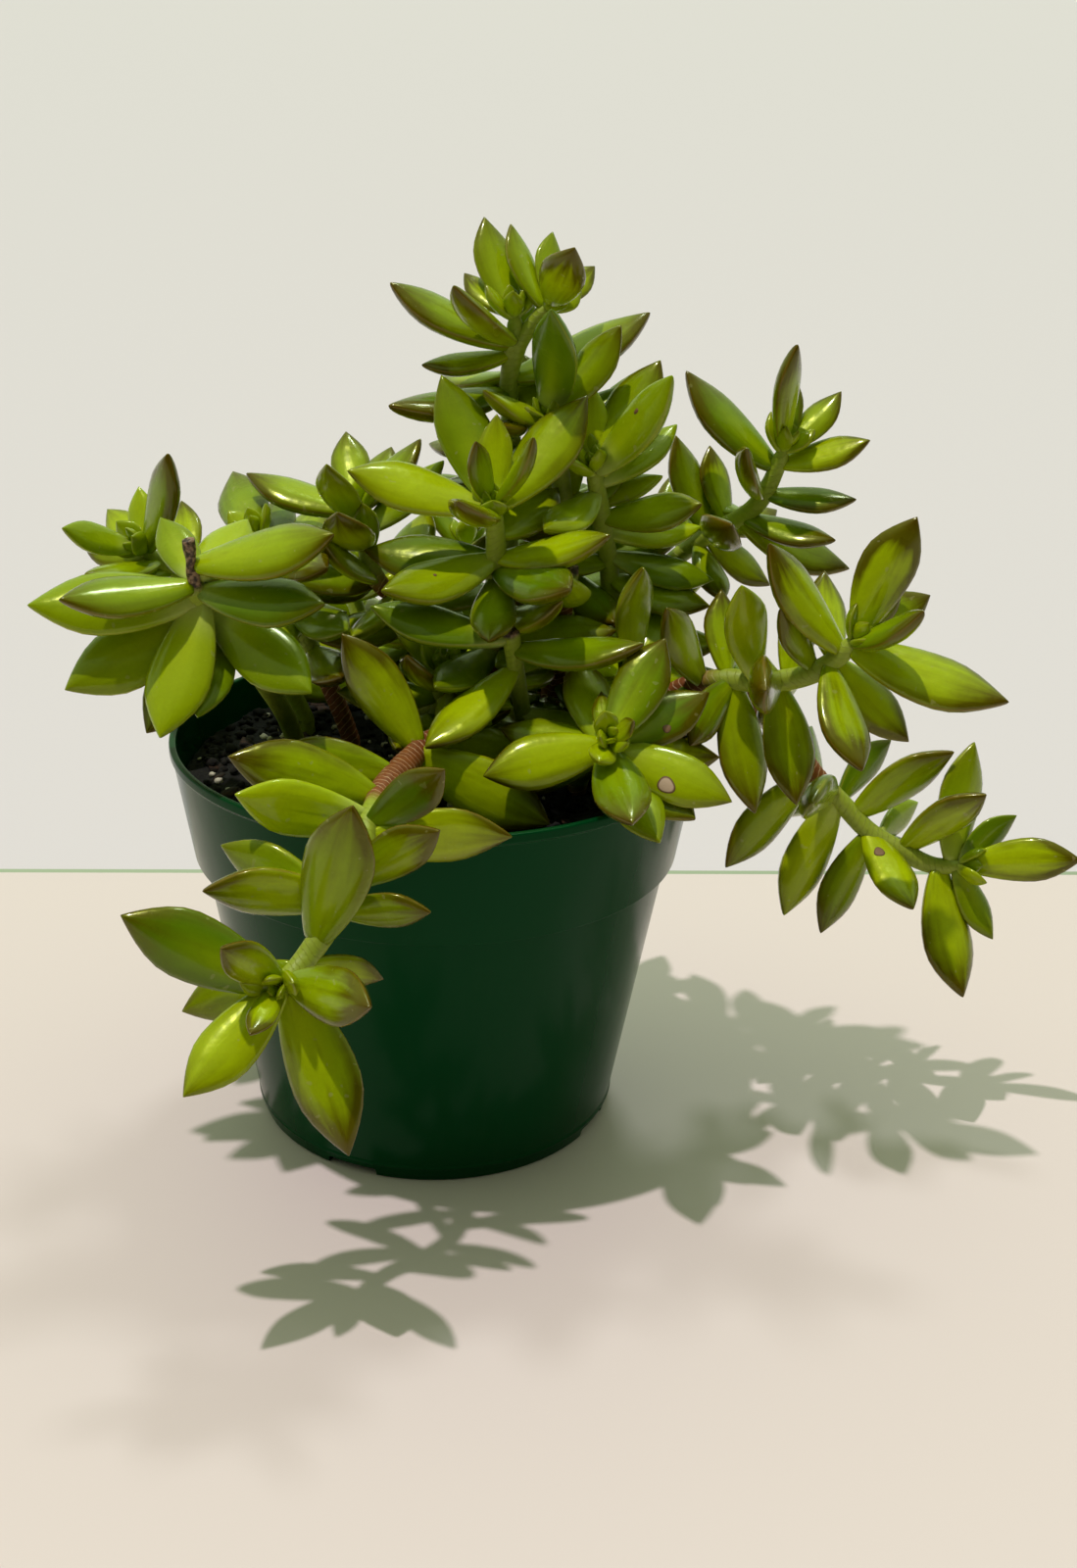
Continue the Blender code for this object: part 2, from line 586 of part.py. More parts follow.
class Obstacles:
    """Everything placed so far, with a quick test of what a new leaf would cross."""

    def __init__(self):
        self.items = []

    def add(self, owner, solid):
        """Remember a solid and the shoot or body that it belongs to."""
        points = [Vector(point) for point in solid[0]]
        low = Vector([min(point[axis] for point in points) for axis in range(3)])
        high = Vector([max(point[axis] for point in points) for axis in range(3)])
        self.items.append((owner, low, high, solid_tree(solid)))

    def crossed(self, owner, solid, own):
        """True where the solid crosses a thing of its own shoot, or else of any other."""
        low = [min(point[axis] for point in solid[0]) for axis in range(3)]
        high = [max(point[axis] for point in solid[0]) for axis in range(3)]
        tree = None
        for other, other_low, other_high, other_tree in self.items:
            if (other == owner) != own:
                continue
            if any(low[axis] > other_high[axis] or high[axis] < other_low[axis] for axis in range(3)):
                continue
            tree = tree or solid_tree(solid)
            if tree.overlap(other_tree):
                return True
        return False


def bend_cost(change):
    """How strong a change of heading, rise and length is."""
    turn, lift, scale = change
    return abs(turn) + abs(lift) + (1 - scale) * SHORTENING_COST


def bends():
    """Changes of heading, rise and length to try, the gentlest first."""
    steps = range(-BEND_STEPS, BEND_STEPS + 1)
    changes = [(turn * BEND_STEP, lift * BEND_STEP, scale)
               for turn in steps for lift in steps for scale in SHORTENINGS]
    return sorted(changes, key=bend_cost)


BENDS = bends()


def place_leaf(owner, path, spec, width_share, facing, around, inside, spare):
    """Leaf bent as little as clears the rest, or None where nothing does."""
    below_tip, heading, rise, length = spec
    for keep_siblings_clear in ((True,) if spare else (True, False)):
        for turn, lift, scale in BENDS:
            bent = (below_tip, heading + turn, rise + lift, length * scale)
            leaf = make_leaf(path, bent, width_share, facing)
            if around.crossed(owner, leaf_solid(leaf, grow=LEAF_CLEARANCE), own=False):
                continue
            outer_leaf = leaf_solid(leaf, start=SIBLING_START)
            if keep_siblings_clear and inside.crossed(owner, outer_leaf, own=True):
                continue
            return leaf
    return None


def fill_leaves(plan):
    """Leaves in a golden spiral down the stem, short and steep at the tip, for a shoot's rest."""
    specs = []
    for count in range(plan.fill_count):
        below_tip = plan.fill_from + FILL_SPACING * count
        age = min(1.0, below_tip / FILL_GROWN_AT)
        heading = plan.fill_heading + GOLDEN_ANGLE * count
        rise = FILL_TIP_RISE + (FILL_GROWN_RISE - FILL_TIP_RISE) * age
        length = FILL_TIP_LENGTH + (FILL_GROWN_LENGTH - FILL_TIP_LENGTH) * age
        specs.append((below_tip, heading, rise, length))
    return specs


def plan_leaves(pot, soil):
    """Leaves of every shoot, bent clear of each other, of the stems and of the pot."""
    around = Obstacles()
    inside = Obstacles()
    for body in (pot, soil):
        faces = [tuple(face.vertices) for face in body.data.polygons]
        around.add(body.name, ([vertex.co for vertex in body.data.vertices], faces))
    paths = {}
    for plan in SHOOTS:
        paths[plan.name] = [smooth_route(route) for route in plan.routes]
        for path in paths[plan.name]:
            stem = tube_solid(path, plan.radius, plan.cut)
            around.add(plan.name, stem)
            inside.add(plan.name, stem)
    draw = random.Random(SEED)
    placed = {plan.name: [] for plan in SHOOTS}
    for spare in (False, True):
        for plan in SHOOTS:
            specs = fill_leaves(plan) if spare else plan.leaves
            for spec in specs:
                path = paths[plan.name][spec[4] if len(spec) > 4 else 0]
                width_share = LEAF_WIDTH_SHARE * draw.uniform(*LEAF_WIDTH_SPREAD)
                facing = plan.facing * FORWARD_PULL * draw.uniform(*FORWARD_PULL_SPREAD)
                leaf = place_leaf(plan.name, path, spec[:4], width_share, facing, around, inside, spare)
                if leaf:
                    placed[plan.name].append(leaf)
                    around.add(plan.name, leaf_solid(leaf))
                    inside.add(plan.name, leaf_solid(leaf, start=SIBLING_START))
    return paths, placed


def build_shoot(plan, paths, leaves, shade):
    """One leafy stem as a single solid: its stem and branches with every leaf fused in."""
    stem = mesh_object(plan.name, tube_solid(paths[0], plan.radius, plan.cut), shade)
    branch_radius = plan.radius * BRANCH_RADIUS_SHARE
    parts = [mesh_object("branch", tube_solid(path, branch_radius, False)) for path in paths[1:]]
    parts += [mesh_object("leaf", leaf_solid(leaf)) for leaf in leaves]
    combine(stem, parts, "UNION")
    keep_outer_skin(stem)
    return stem


def main():
    """Build the pot, the potting mix and every leafy stem."""
    for leftover in list(bpy.data.objects):
        bpy.data.objects.remove(leftover)
    pot = build_pot()
    soil = build_soil(SHOOTS)
    paths, placed = plan_leaves(pot, soil)
    shade = material("sedum_leaf", LEAF_COLOUR, 0.38)
    for plan in SHOOTS:
        build_shoot(plan, paths[plan.name], placed[plan.name], shade)
    for made in bpy.context.scene.collection.objects:
        made.data.shade_smooth()
        made.data.set_sharp_from_angle(angle=math.radians(SHARP_ANGLE))


if __name__ == "__main__":
    main()
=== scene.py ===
"""Potted golden sedum: finished surfaces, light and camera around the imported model.

Every shoot of the plant stands where its solid stands, because the same lists and the same
rule for clearing neighbours place its leaves. Units are metres with +Z up. Lengths in the
shoot lists are millimetres and angles are degrees.
"""

import functools
import math
import random
from collections import namedtuple

import bpy
import numpy as np
from bpy.props import FloatProperty, FloatVectorProperty, IntProperty, PointerProperty
from mathutils import Matrix, Vector, noise
from mathutils.bvhtree import BVHTree


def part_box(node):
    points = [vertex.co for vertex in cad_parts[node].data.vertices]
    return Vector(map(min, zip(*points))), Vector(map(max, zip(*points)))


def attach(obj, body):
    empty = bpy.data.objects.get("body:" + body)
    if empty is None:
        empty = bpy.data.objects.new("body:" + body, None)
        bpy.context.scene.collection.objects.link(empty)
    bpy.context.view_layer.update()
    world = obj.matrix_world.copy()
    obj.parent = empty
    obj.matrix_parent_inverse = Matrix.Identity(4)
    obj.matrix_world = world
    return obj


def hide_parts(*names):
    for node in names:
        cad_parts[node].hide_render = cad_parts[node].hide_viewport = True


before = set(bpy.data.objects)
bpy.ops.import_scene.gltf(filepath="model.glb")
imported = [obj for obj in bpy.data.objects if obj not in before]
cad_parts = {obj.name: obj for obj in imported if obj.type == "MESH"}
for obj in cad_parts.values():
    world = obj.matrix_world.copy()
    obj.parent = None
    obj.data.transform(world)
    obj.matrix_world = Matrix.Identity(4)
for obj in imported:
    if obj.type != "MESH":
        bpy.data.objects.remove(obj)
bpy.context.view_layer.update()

bl_info = {
    "name": "Potted sedum",
    "version": (1, 0, 0),
    "blender": (4, 5, 0),
    "location": "3D View > Sidebar > Sedum",
    "description": "Builds a golden sedum with fleshy leaves in a green nursery pot",
    "category": "Add Mesh",
}

MM = 0.001
BODY = "root"

# The photograph's camera, fitted to the rim, collar and foot of the pot
CAMERA_PLACE = (0.0, -0.4246, 0.2595)
CAMERA_AHEAD = (0.0536, 0.9230, -0.3811)
CAMERA_UP = (-0.0049, 0.3819, 0.9242)
CAMERA_LENS = 43.33

# Stage: two boards that meet behind the pot, and the light that the shadows show
STAGE_REACH = 40.0
STAGE_DROP = 0.05 * MM
BOARD_SEAM = 0.128
BOARD_GAP = 0.0026
BOARD_RISE = 1.3
KEY_FROM = (-0.4, -0.12, 2.0)
KEY_SPREAD = 1.3
SECOND_FROM = (0.3, 0.82, 2.0)
SECOND_SPREAD = 7.0
SURROUND_BRIGHT_TOWARDS = (-0.1, 0.7, 0.7)
SURROUND_FADE = (-0.25, 0.65)
SURROUND_DIM_SHARE = 0.08
CLIP_START = 0.01

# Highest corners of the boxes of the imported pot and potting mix
POT_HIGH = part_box("pot")[1]
SOIL_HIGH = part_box("soil")[1]

# Form of the pot that no setting changes, with angles in degrees
COLLAR_DROP = 28.0 * MM
COLLAR_FOOT_RADIUS = 58.6 * MM
BODY_TOP_RADIUS = 56.6 * MM
BASE_RADIUS = 45.0 * MM
FOOT_HEIGHT = 4.0 * MM
FOOT_INSET = 0.9 * MM
FOOT_DRAFT = 0.5 * MM
BASE_THICKNESS = 1.6 * MM
RIM_BEAD_HEIGHT = 2.6 * MM
RIM_BEAD_DEPTH = 0.6 * MM
RIM_THICKNESS = 1.6 * MM
RIM_INNER_SLOPE = 0.4 * MM
COLLAR_INNER_RISE = 1.7 * MM
CORNER_STEPS = 5
DRAIN_SLOTS = 4
DRAIN_SLOT_FIRST_ANGLE = 243.0
DRAIN_SLOT_SIZE = (8.0 * MM, 13.0 * MM, 2.0 * MM)
DRAIN_SLOT_ROUNDING = 0.8 * MM
DRAIN_SLOT_ROUNDING_STEPS = 3
DRAIN_SLOT_OVERCUT = 1.0 * MM
MOULD_LINE = 0.25 * MM
SHARP_EDGE = 35.0
MERGE_DISTANCE = 0.01 * MM

# Potting mix: its gap from the pot, and a surface of lumps and crumbs a little below the top of
# its solid. The fractal is the falloff, step and number of its octaves
SOIL_GAP = 0.3 * MM
SOIL_LEVEL = SOIL_HIGH.z - 1.6 * MM
SOIL_RINGS = 56
SOIL_SEGMENTS = 180
LUMP_SIZE = 16.0 * MM
CRUMB_SIZE = 3.2 * MM
CRUMB_FRACTAL = (0.8, 2.1, 3)
CRUMB_RELIEF_SHARE = 0.55

# Loose grains: jaggedness, stretch and lift as shares of a grain's size, tilt in radians, and
# the bare edge that they keep
GRAIN_JAGGEDNESS = 0.28
GRAIN_STRETCH = (0.75, 1.3)
GRAIN_TILT = 0.6
GRAIN_LIFT = (0.05, 0.35)
GRAIN_EDGE = 1.5 * MM

# Rule that places the leaves: the same values as the solids have
LEAF_CLEARANCE = 0.42 * MM
STEM_SIDES = 5
STEM_STEP = 9.0 * MM
BUD_LENGTH = 3.0 * MM
BRANCH_RADIUS_SHARE = 0.9
LEAF_WIDTH_SHARE = 0.39
LEAF_WIDTH_SPREAD = (0.94, 1.08)
LEAF_THICKNESS_SHARE = 0.50
LEAF_BASE_WIDTH = 0.28
LEAF_WIDEST_AT = 0.58
LEAF_FULLNESS = 0.9
LEAF_TIP_THINNING = 0.6
LEAF_BOW = 0.035
LEAF_RINGS = (0.0, 0.40, 0.74)
LEAF_SECTION = ((-1.0, 0.0), (0.0, -0.64), (1.0, 0.0), (0.0, 0.34))
UPWARD_PULL = 0.6
FORWARD_PULL = 0.8
FORWARD_PULL_SPREAD = (0.5, 1.3)
SEED = 11
GOLDEN_ANGLE = 137.5
FILL_SPACING = 3.2
FILL_GROWN_AT = 14.0
FILL_TIP_RISE = 62.0
FILL_GROWN_RISE = 4.0
FILL_TIP_LENGTH = 15.0
FILL_GROWN_LENGTH = 28.0
BEND_STEP = 7.0
BEND_STEPS = 5
SHORTENINGS = (1.0, 0.9, 0.8, 0.68)
SHORTENING_COST = 90.0
SIBLING_START = 0.34

Shoot = namedtuple(
    "Shoot",
    "name radius routes leaves fill_from fill_count fill_heading cut facing bark_below blush withered girth")
Leaf = namedtuple("Leaf", "root tip upper width")
Look = namedtuple("Look", "tone blush twist sway furrow")
Mark = namedtuple("Mark", "shoot leaf share turn radius stretch pale")


def shoot(name, routes, leaves=(), fill_from=0.0, fill=0, heading=90.0, radius=2.2, cut=False,
          facing=1.0, bark_below=38.0, blush=0.5, withered=0.0, girth=((0, 0.8), (14, 1.0))):
    """One leafy stem: its routes and leaves, and how it looks.

    Facing is the share of the usual pull that turns its leaves to the front.
    Bark begins bark_below millimetres under the tip, and the last withered millimetres are dead.
    Girth lists shares of the radius at millimetres under the tip.
    """
    return Shoot(name, radius * MM, routes, leaves, fill_from, fill, heading, cut, facing, bark_below,
                 blush, withered, girth)


# Each route starts in the soil and ends at the growing tip. A leaf is
# (millimetres below the tip, heading, rise, length) with heading 0 along +X and 90 along +Y,
# and an optional fifth value for the route that it grows from.
SHOOTS = (
    shoot(
        "front_trailing_stem",
        [[(8, -9, 70), (6, -14, 92), (0, -24, 106), (-7, -38, 104), (-12, -52, 103), (-14, -64, 102.5),
          (-16, -73, 97), (-20, -79, 89), (-26, -84, 81), (-30, -89, 78), (-31, -93, 79)]],
        [(0, 175, 25, 34), (2, 225, 42, 20), (4, 310, 12, 28), (3, 225, -30, 30), (8, 172, -26, 27),
         (4, 311, -58, 37), (1, 250, -13, 15), (8, 25, -20, 20), (14, 330, 74, 34), (22, 152, 18, 29),
         (28, 335, 38, 26), (22, 345, 7, 20), (38, 20, 0, 31), (42, 325, 42, 26), (44, 195, 17, 29),
         (54, 183, 18, 33), (66, 175, 8, 28), (78, 150, 50, 31), (76, 342, -22, 34), (82, 30, -12, 25),
         (88, 60, 60, 12), (32, 118, 8, 20), (24, 183, 10, 28)],
        radius=2.5, bark_below=50.0, blush=0.75,
        girth=((0, 0.8), (14, 1.0), (50, 0.95), (60, 1.28), (72, 1.22), (86, 0.62), (96, 0.8))),
    shoot(
        "front_rosette_stem",
        [[(31, -10, 70), (33, -17, 92), (36, -28, 101), (37, -38, 108), (37, -47, 114)]],
        [(0, 50, 42, 27), (6, 188, -12, 28), (8, 153, 0, 26), (13, 190, -21, 26), (6, 277, -14, 28),
         (6, 336, -16, 30), (5, 25, 18, 27), (11, 294, -18, 28), (14, 318, -25, 27), (12, 14, -8, 28),
         (1, 95, 30, 14), (0, 300, 40, 11), (7, 105, 30, 27)],
        radius=2.3, blush=0.6),
    shoot(
        "cut_stem",
        [[(21, -4, 70), (21, -7, 92), (20, -14, 106), (18, -20, 118), (16, -24, 131)]],
        [(2, 178, 12, 32), (5, 337, 10, 31), (10, 222, -25, 30), (15, 62, -7, 22), (18, 95, -20, 22),
         (24, 330, -5, 24), (30, 180, -10, 24), (30, 90, -5, 24)],
        radius=2.1, cut=True, facing=0.3, bark_below=60.0, blush=0.15, withered=0.9,
        girth=((0, 1.05), (5, 0.95))),
    shoot(
        "centre_rosette_stem",
        [[(8, 2, 70), (9, 0, 92), (13, -7, 120), (13, -13, 143), (12, -18, 158)]],
        [(0, 126, 52, 32), (1, 180, 14, 33), (0, 237, 64, 17), (0, 306, 52, 22), (1, 35, 41, 34),
         (0, 85, 60, 20), (2, 250, 18, 26), (14, 208, -8, 29), (15, 165, 0, 31), (14, 332, 18, 29),
         (17, 300, 6, 30), (19, 265, -16, 26), (8, 55, 12, 27), (24, 135, -8, 26), (30, 298, 2, 26),
         (38, 245, -5, 26)],
        fill_from=34, fill=3, heading=20, radius=2.4),
    shoot(
        "back_cluster_stem",
        [[(24, 13, 70), (25, 12, 92), (32, 13, 125), (29, 9, 154), (25, 5, 173)]],
        [(0, 266, 58, 31), (0, 6, 52, 26), (1, 219, 24, 22), (24, 285, 72, 28), (20, 117, 5, 27),
         (27, 32, -6, 26), (28, 125, -15, 25), (6, 62, -4, 24), (5, 135, 10, 25), (36, 334, 17, 36),
         (38, 234, -8, 25), (12, 200, 10, 26), (22, 325, 2, 24), (40, 298, -6, 25)],
        fill_from=44, fill=5, heading=60, radius=2.3, blush=0.35),
    shoot(
        "right_cluster_stem",
        [[(40, 7, 70), (40, 8, 92), (41, 8, 130), (38, 4, 149), (35, 0, 163)]],
        [(0, 40, 50, 29), (2, 331, 53, 30), (5, 36, 24, 27), (10, 40, 14, 25), (3, 60, 13, 32),
         (18, 28, -2, 26), (7, 236, -10, 24), (1, 99, 40, 24), (24, 15, -12, 26), (16, 100, 0, 26),
         (26, 200, -10, 24), (14, 335, 14, 25)],
        fill_from=30, fill=6, heading=340, radius=2.3, blush=0.3),
    shoot(
        "top_stem",
        [[(14, 19, 70), (14, 18, 92), (17, 17, 140), (17, 14, 165), (16, 12, 178), (17, 10, 189),
          (17, 9, 196)],
         [(16.5, 11, 183), (18, 10, 188), (21, 9, 193), (25, 8, 198)]],
        [(1, 117, 52, 25), (7, 232, 32, 27), (8, 178, 25, 31), (1, 134, 52, 18), (2, 132, 42, 21, 1),
         (0, 280, 35, 25, 1), (0, 87, 52, 18, 1), (1, 47, 24, 18, 1), (11, 75, 45, 12, 1),
         (10, 182, -8, 21), (19, 208, -2, 31), (15, 128, -10, 25), (16, 10, 22, 37),
         (24, 62, -15, 26), (29, 140, -15, 26), (25, 300, 5, 26)],
        fill_from=36, fill=5, heading=100, radius=2.2, facing=0.4, bark_below=60.0, blush=0.7),
    shoot(
        "right_back_stem",
        [[(47, 22, 70), (47, 24, 92), (48, 26, 114), (54, 24, 130), (65, 18, 142), (74, 14, 149),
          (78, 12, 156), (81, 10, 166)]],
        [(1, 271, 76, 26), (6, 163, 43, 31), (1, 28, 38, 20), (0, 75, 55, 17), (5, 350, 18, 22),
         (14, 249, 38, 25), (13, 346, 0, 22), (30, 150, 65, 25), (25, 112, 50, 20), (29, 270, 18, 28),
         (21, 330, -6, 24), (34, 285, -28, 20), (31, 13, -38, 22), (38, 95, 34, 25),
         (27, 43, 2, 22), (22, 2, -24, 31), (48, 228, 30, 20), (20, 120, 10, 24)],
        fill_from=50, fill=1, heading=100, radius=2.2, bark_below=52.0, blush=0.8),
    shoot(
        "right_middle_stem",
        [[(46, -7, 70), (46, -8, 92), (49, -10, 105), (56, -12, 113), (65, -16, 117), (74, -20, 118),
          (83, -24, 121), (89, -27, 126), (93, -29, 132)]],
        [(0, 15, 66, 29), (5, 190, 53, 32), (2, 302, 32, 24), (1, 30, 18, 23), (0, 38, 32, 23),
         (3, 338, -13, 37), (9, 280, -36, 29), (8, 350, -45, 26), (12, 8, -24, 25), (27, 230, 68, 27),
         (22, 254, 14, 31), (23, 290, -62, 29), (33, 290, -62, 31), (40, 223, 55, 26), (13, 216, 52, 21),
         (33, 235, -34, 22), (34, 95, 55, 22), (8, 90, 40, 24), (44, 257, -20, 20), (20, 66, 44, 25),
         (17, 109, -50, 24), (28, 100, 0, 24)],
        radius=2.5, facing=2.5, bark_below=38.0, blush=0.85),
    shoot(
        "right_trailing_stem",
        [[(48, 3, 70), (49, 3, 92), (54, 4, 102), (64, 5, 108), (76, 5, 104), (87, 4, 94), (93, 3, 86),
          (100, 2, 79), (107, 0, 72), (115, -3, 68), (123, -5, 65), (130, -7, 66)]],
        [(0, 344, 10, 28), (1, 20, 36, 19), (3, 64, 66, 31), (16, 338, 45, 27), (6, 286, -58, 33),
         (2, 329, -57, 21), (26, 289, -25, 26), (37, 219, -58, 32), (25, 217, -57, 28), (38, 246, 17, 28),
         (31, 0, 36, 29), (22, 50, 10, 20), (36, 40, 32, 22), (46, 200, -44, 32), (44, 87, 20, 20),
         (34, 130, -25, 22), (12, 110, -20, 24), (56, 112, -40, 24), (62, 72, 12, 24), (64, 280, 0, 22)],
        radius=2.4, facing=2.5, bark_below=40.0, blush=0.45),
    shoot(
        "left_cluster_stem",
        [[(-33, 12, 70), (-35, 10, 92), (-41, -4, 112), (-48, -20, 131), (-52, -29, 141), (-53, -32, 153)]],
        [(6, 346, 16, 33), (12, 340, 0, 30), (20, 322, -24, 32), (15, 249, -50, 33), (11, 207, 1, 30),
         (10, 118, 25, 22), (15, 185, -2, 37), (20, 197, -26, 36), (23, 168, -20, 28), (28, 232, -36, 31),
         (26, 262, -25, 27), (9, 75, 15, 26), (18, 80, 0, 26)],
        radius=2.3, cut=True, bark_below=90.0, blush=0.25, withered=11.0, girth=((0, 1.0), (14, 1.0))),
    shoot(
        "left_back_stem",
        [[(-32, 23, 70), (-33, 23, 92), (-48, 20, 118), (-60, 14, 131), (-70, 8, 140)]],
        [(2, 317, 68, 27), (0, 121, 16, 19), (1, 98, 40, 16), (0, 215, 22, 20), (3, 150, 4, 22),
         (5, 165, -10, 24), (6, 235, 5, 24), (10, 215, 0, 22), (13, 95, 33, 24), (16, 250, -15, 24),
         (18, 130, -20, 24), (12, 20, 5, 24)],
        fill_from=24, fill=3, heading=80, radius=2.0, bark_below=90.0, blush=0.4),
    shoot(
        "left_middle_stem",
        [[(-20, 8, 70), (-21, 8, 92), (-32, 8, 120), (-38, 4, 137), (-42, 2, 146)]],
        [(1, 106, 15, 31), (4, 85, 12, 25), (8, 73, 22, 28), (7, 58, 15, 24), (12, 0, 3, 26),
         (6, 185, -5, 22), (6, 304, 6, 27), (22, 302, 4, 26), (13, 130, -10, 25), (26, 246, 0, 25),
         (16, 30, -5, 25)],
        fill_from=30, fill=2, heading=150, radius=2.2, blush=0.55),
    shoot(
        "left_upper_stem",
        [[(0, 11, 70), (0, 10, 92), (1, 8, 118), (-3, 6, 128), (-11, 4, 131), (-15, 3, 136),
          (-17, 5, 143), (-19, 7, 152)]],
        [(2, 160, 12, 29), (4, 249, 42, 25), (0, 100, 35, 22), (10, 256, 30, 26), (12, 255, 60, 20),
         (1, 30, 40, 22), (2, 69, 28, 23), (7, 12, 40, 25), (19, 230, 56, 24), (20, 61, 8, 26),
         (24, 247, -10, 23), (30, 72, 18, 22)],
        fill_from=34, fill=3, heading=200, radius=2.2, bark_below=18.0, blush=0.45),
    shoot(
        "front_low_stem",
        [[(-3, -3, 70), (-3, -4, 92), (0, -8, 106), (1, -11, 118)]],
        [(2, 160, 52, 22), (5, 254, 34, 23), (2, 303, 28, 22), (8, 298, 12, 23), (2, 79, 30, 22),
         (10, 130, -15, 24), (8, 190, 5, 24), (14, 250, 10, 26), (16, 330, 0, 26),
         (20, 60, 0, 24)],
        radius=2.1, blush=0.2),
    shoot(
        "right_low_stem",
        [[(38, -5, 70), (38, -6, 92), (44, -8, 107), (46, -8, 118)]],
        [(0, 270, 72, 27), (2, 55, 37, 25), (3, 111, 26, 22), (6, 300, 0, 23), (6, 228, 18, 23),
         (4, 20, 5, 24), (10, 150, -10, 22), (14, 340, 0, 24), (16, 210, 5, 24)],
        radius=2.1, blush=0.3),
    shoot(
        "middle_bare_stem",
        [[(26, 2, 70), (26, 2, 92), (29, 0, 112), (29, -2, 126), (31, -3, 140)]],
        [(8, 267, 20, 26), (11, 350, -8, 24), (15, 112, 10, 24), (18, 291, -6, 24), (20, 235, 2, 24),
         (26, 150, 0, 24), (30, 330, 0, 24), (34, 260, 10, 24)],
        radius=2.2, cut=True, bark_below=4.0, blush=0.3, withered=2.0),
    shoot(
        "back_left_stem",
        [[(-14, 33, 70), (-14, 34, 92), (-19, 40, 110), (-24, 44, 124)]],
        fill=11, heading=40),
    shoot(
        "back_middle_stem",
        [[(8, 36, 70), (8, 37, 92), (8, 44, 114), (7, 49, 132)]],
        fill=12, heading=10),
    shoot(
        "back_right_stem",
        [[(31, 33, 70), (31, 34, 92), (36, 40, 108), (39, 45, 120)]],
        fill=11, heading=100),
    shoot(
        "back_trailing_stem",
        [[(-2, 46, 70), (-2, 47, 92), (-5, 56, 103), (-9, 66, 104), (-13, 75, 98), (-16, 81, 90),
          (-18, 86, 86)]],
        fill=13, heading=158, radius=2.3),
)

# Fine surfaces: faces round and along a leaf and a stem
LEAF_SEGMENTS = 18
LEAF_RING_COUNT = 16
STEM_SEGMENTS = 16
STEM_RING_LENGTH = 0.47 * MM
STEM_FOOT_RINGS = 11

# Form of a leaf's section above and below its margin, as shares of its thickness
LEAF_TOP = 0.34
LEAF_TOP_EDGE = 1.6
LEAF_KEEL = 0.64
LEAF_KEEL_EDGE = 1.05
LEAF_ROOT_ROUNDING = 0.04
LEAF_FILLING = 1.06
FURROW_HALF_WIDTH = 0.24
TIP_START = 0.62
TIP_SHARPENING = 0.26

# A stem: the rings that fallen leaves left round it, how softly its bark begins, its shallow
# waves and the rounding of its tip
SCAR_SPACING = 1.6 * MM
SCAR_SLANT = 0.5
SCAR_HEIGHT = 0.025
BARK_FADE = 5.0 * MM
WAVE_HEIGHT = 0.03
WAVE_LENGTH = 5.0 * MM
TIP_ROUNDING = 1.5
TIP_LEAST = 0.02

# A withered end: how softly it begins, how many millimetres of it shrink fully, its girth then,
# and how it crinkles
WITHERED_FADE = 0.8 * MM
WITHERED_FULLY = 5.0
WITHERED_GIRTH = 0.55
CRINKLE_HEIGHT = 0.14
CRINKLE_LENGTH = 1.1 * MM

# Young leaves nested at a growing tip, in millimetres and degrees: count, first and last length
# and lean off the stem, how far down they start, and looks
BUD_LEAVES = 6
BUD_LENGTHS = (4.5, 10.0)
BUD_LEANS = (10.0, 42.0)
BUD_WIDTH_SHARE = 0.6
BUD_SINK = 0.3
BUD_SPREAD = 0.35
BUD_TONES = (0.1, 0.6)
BUD_BLUSH_SHARE = 0.3
BUD_FURROW = 0.05

# Seed of all that only shows, and the middles, spreads and ranges of what varies from leaf to leaf
LOOK_SEED = 23
TONE_MIDDLE = 0.45
TONE_SPREAD = 0.36
YOUNG_LENGTH = 20.0 * MM
YOUNG_LIGHTENING = 0.4
BLUSH_SPREAD = 0.28
BLUSH_RANGE = (0.05, 1.3)
TWIST_SPREAD = 0.22
TWIST_CENTRE = 0.35
SWAY_SPREAD = 0.012
FURROW_SPREAD = 0.09

# Healed scars: where they lie on which leaf, their radius, stretch along the leaf and paleness
MARK_SEGMENTS = 20
MARK_RINGS = 8
MARK_HEIGHT = 0.16 * MM
MARK_WAVE = 0.07
MARK_PHASE = 40.0
MARKS = (
    Mark("front_rosette_stem", 5, 0.52, 60.0, 1.9 * MM, 1.1, 1.0),
    Mark("front_rosette_stem", 6, 0.5, 60.0, 1.0 * MM, 1.0, 0.1),
    Mark("front_trailing_stem", 9, 0.42, 110.0, 0.6 * MM, 2.2, 1.0),
    Mark("right_trailing_stem", 6, 0.3, 80.0, 1.3 * MM, 1.1, 0.15),
    Mark("right_cluster_stem", 1, 0.6, 100.0, 0.5 * MM, 1.5, 0.0),
    Mark("centre_rosette_stem", 7, 0.55, 90.0, 0.4 * MM, 1.0, 0.0),
)


def linear(hex_colour):
    """Linear red, green and blue of an sRGB colour written as six hex digits, and full alpha."""
    shares = [int(hex_colour[at:at + 2], 16) / 255 for at in (0, 2, 4)]
    bands = [s / 12.92 if s <= 0.04045 else ((s + 0.055) / 1.055) ** 2.4 for s in shares]
    return (*bands, 1.0)


# Settings that a user of the panel can change


def colour_setting(name, description, hex_colour):
    """Colour property whose default is written as six hex digits."""
    return FloatVectorProperty(
        name=name, description=description, default=linear(hex_colour), size=4, subtype="COLOR")


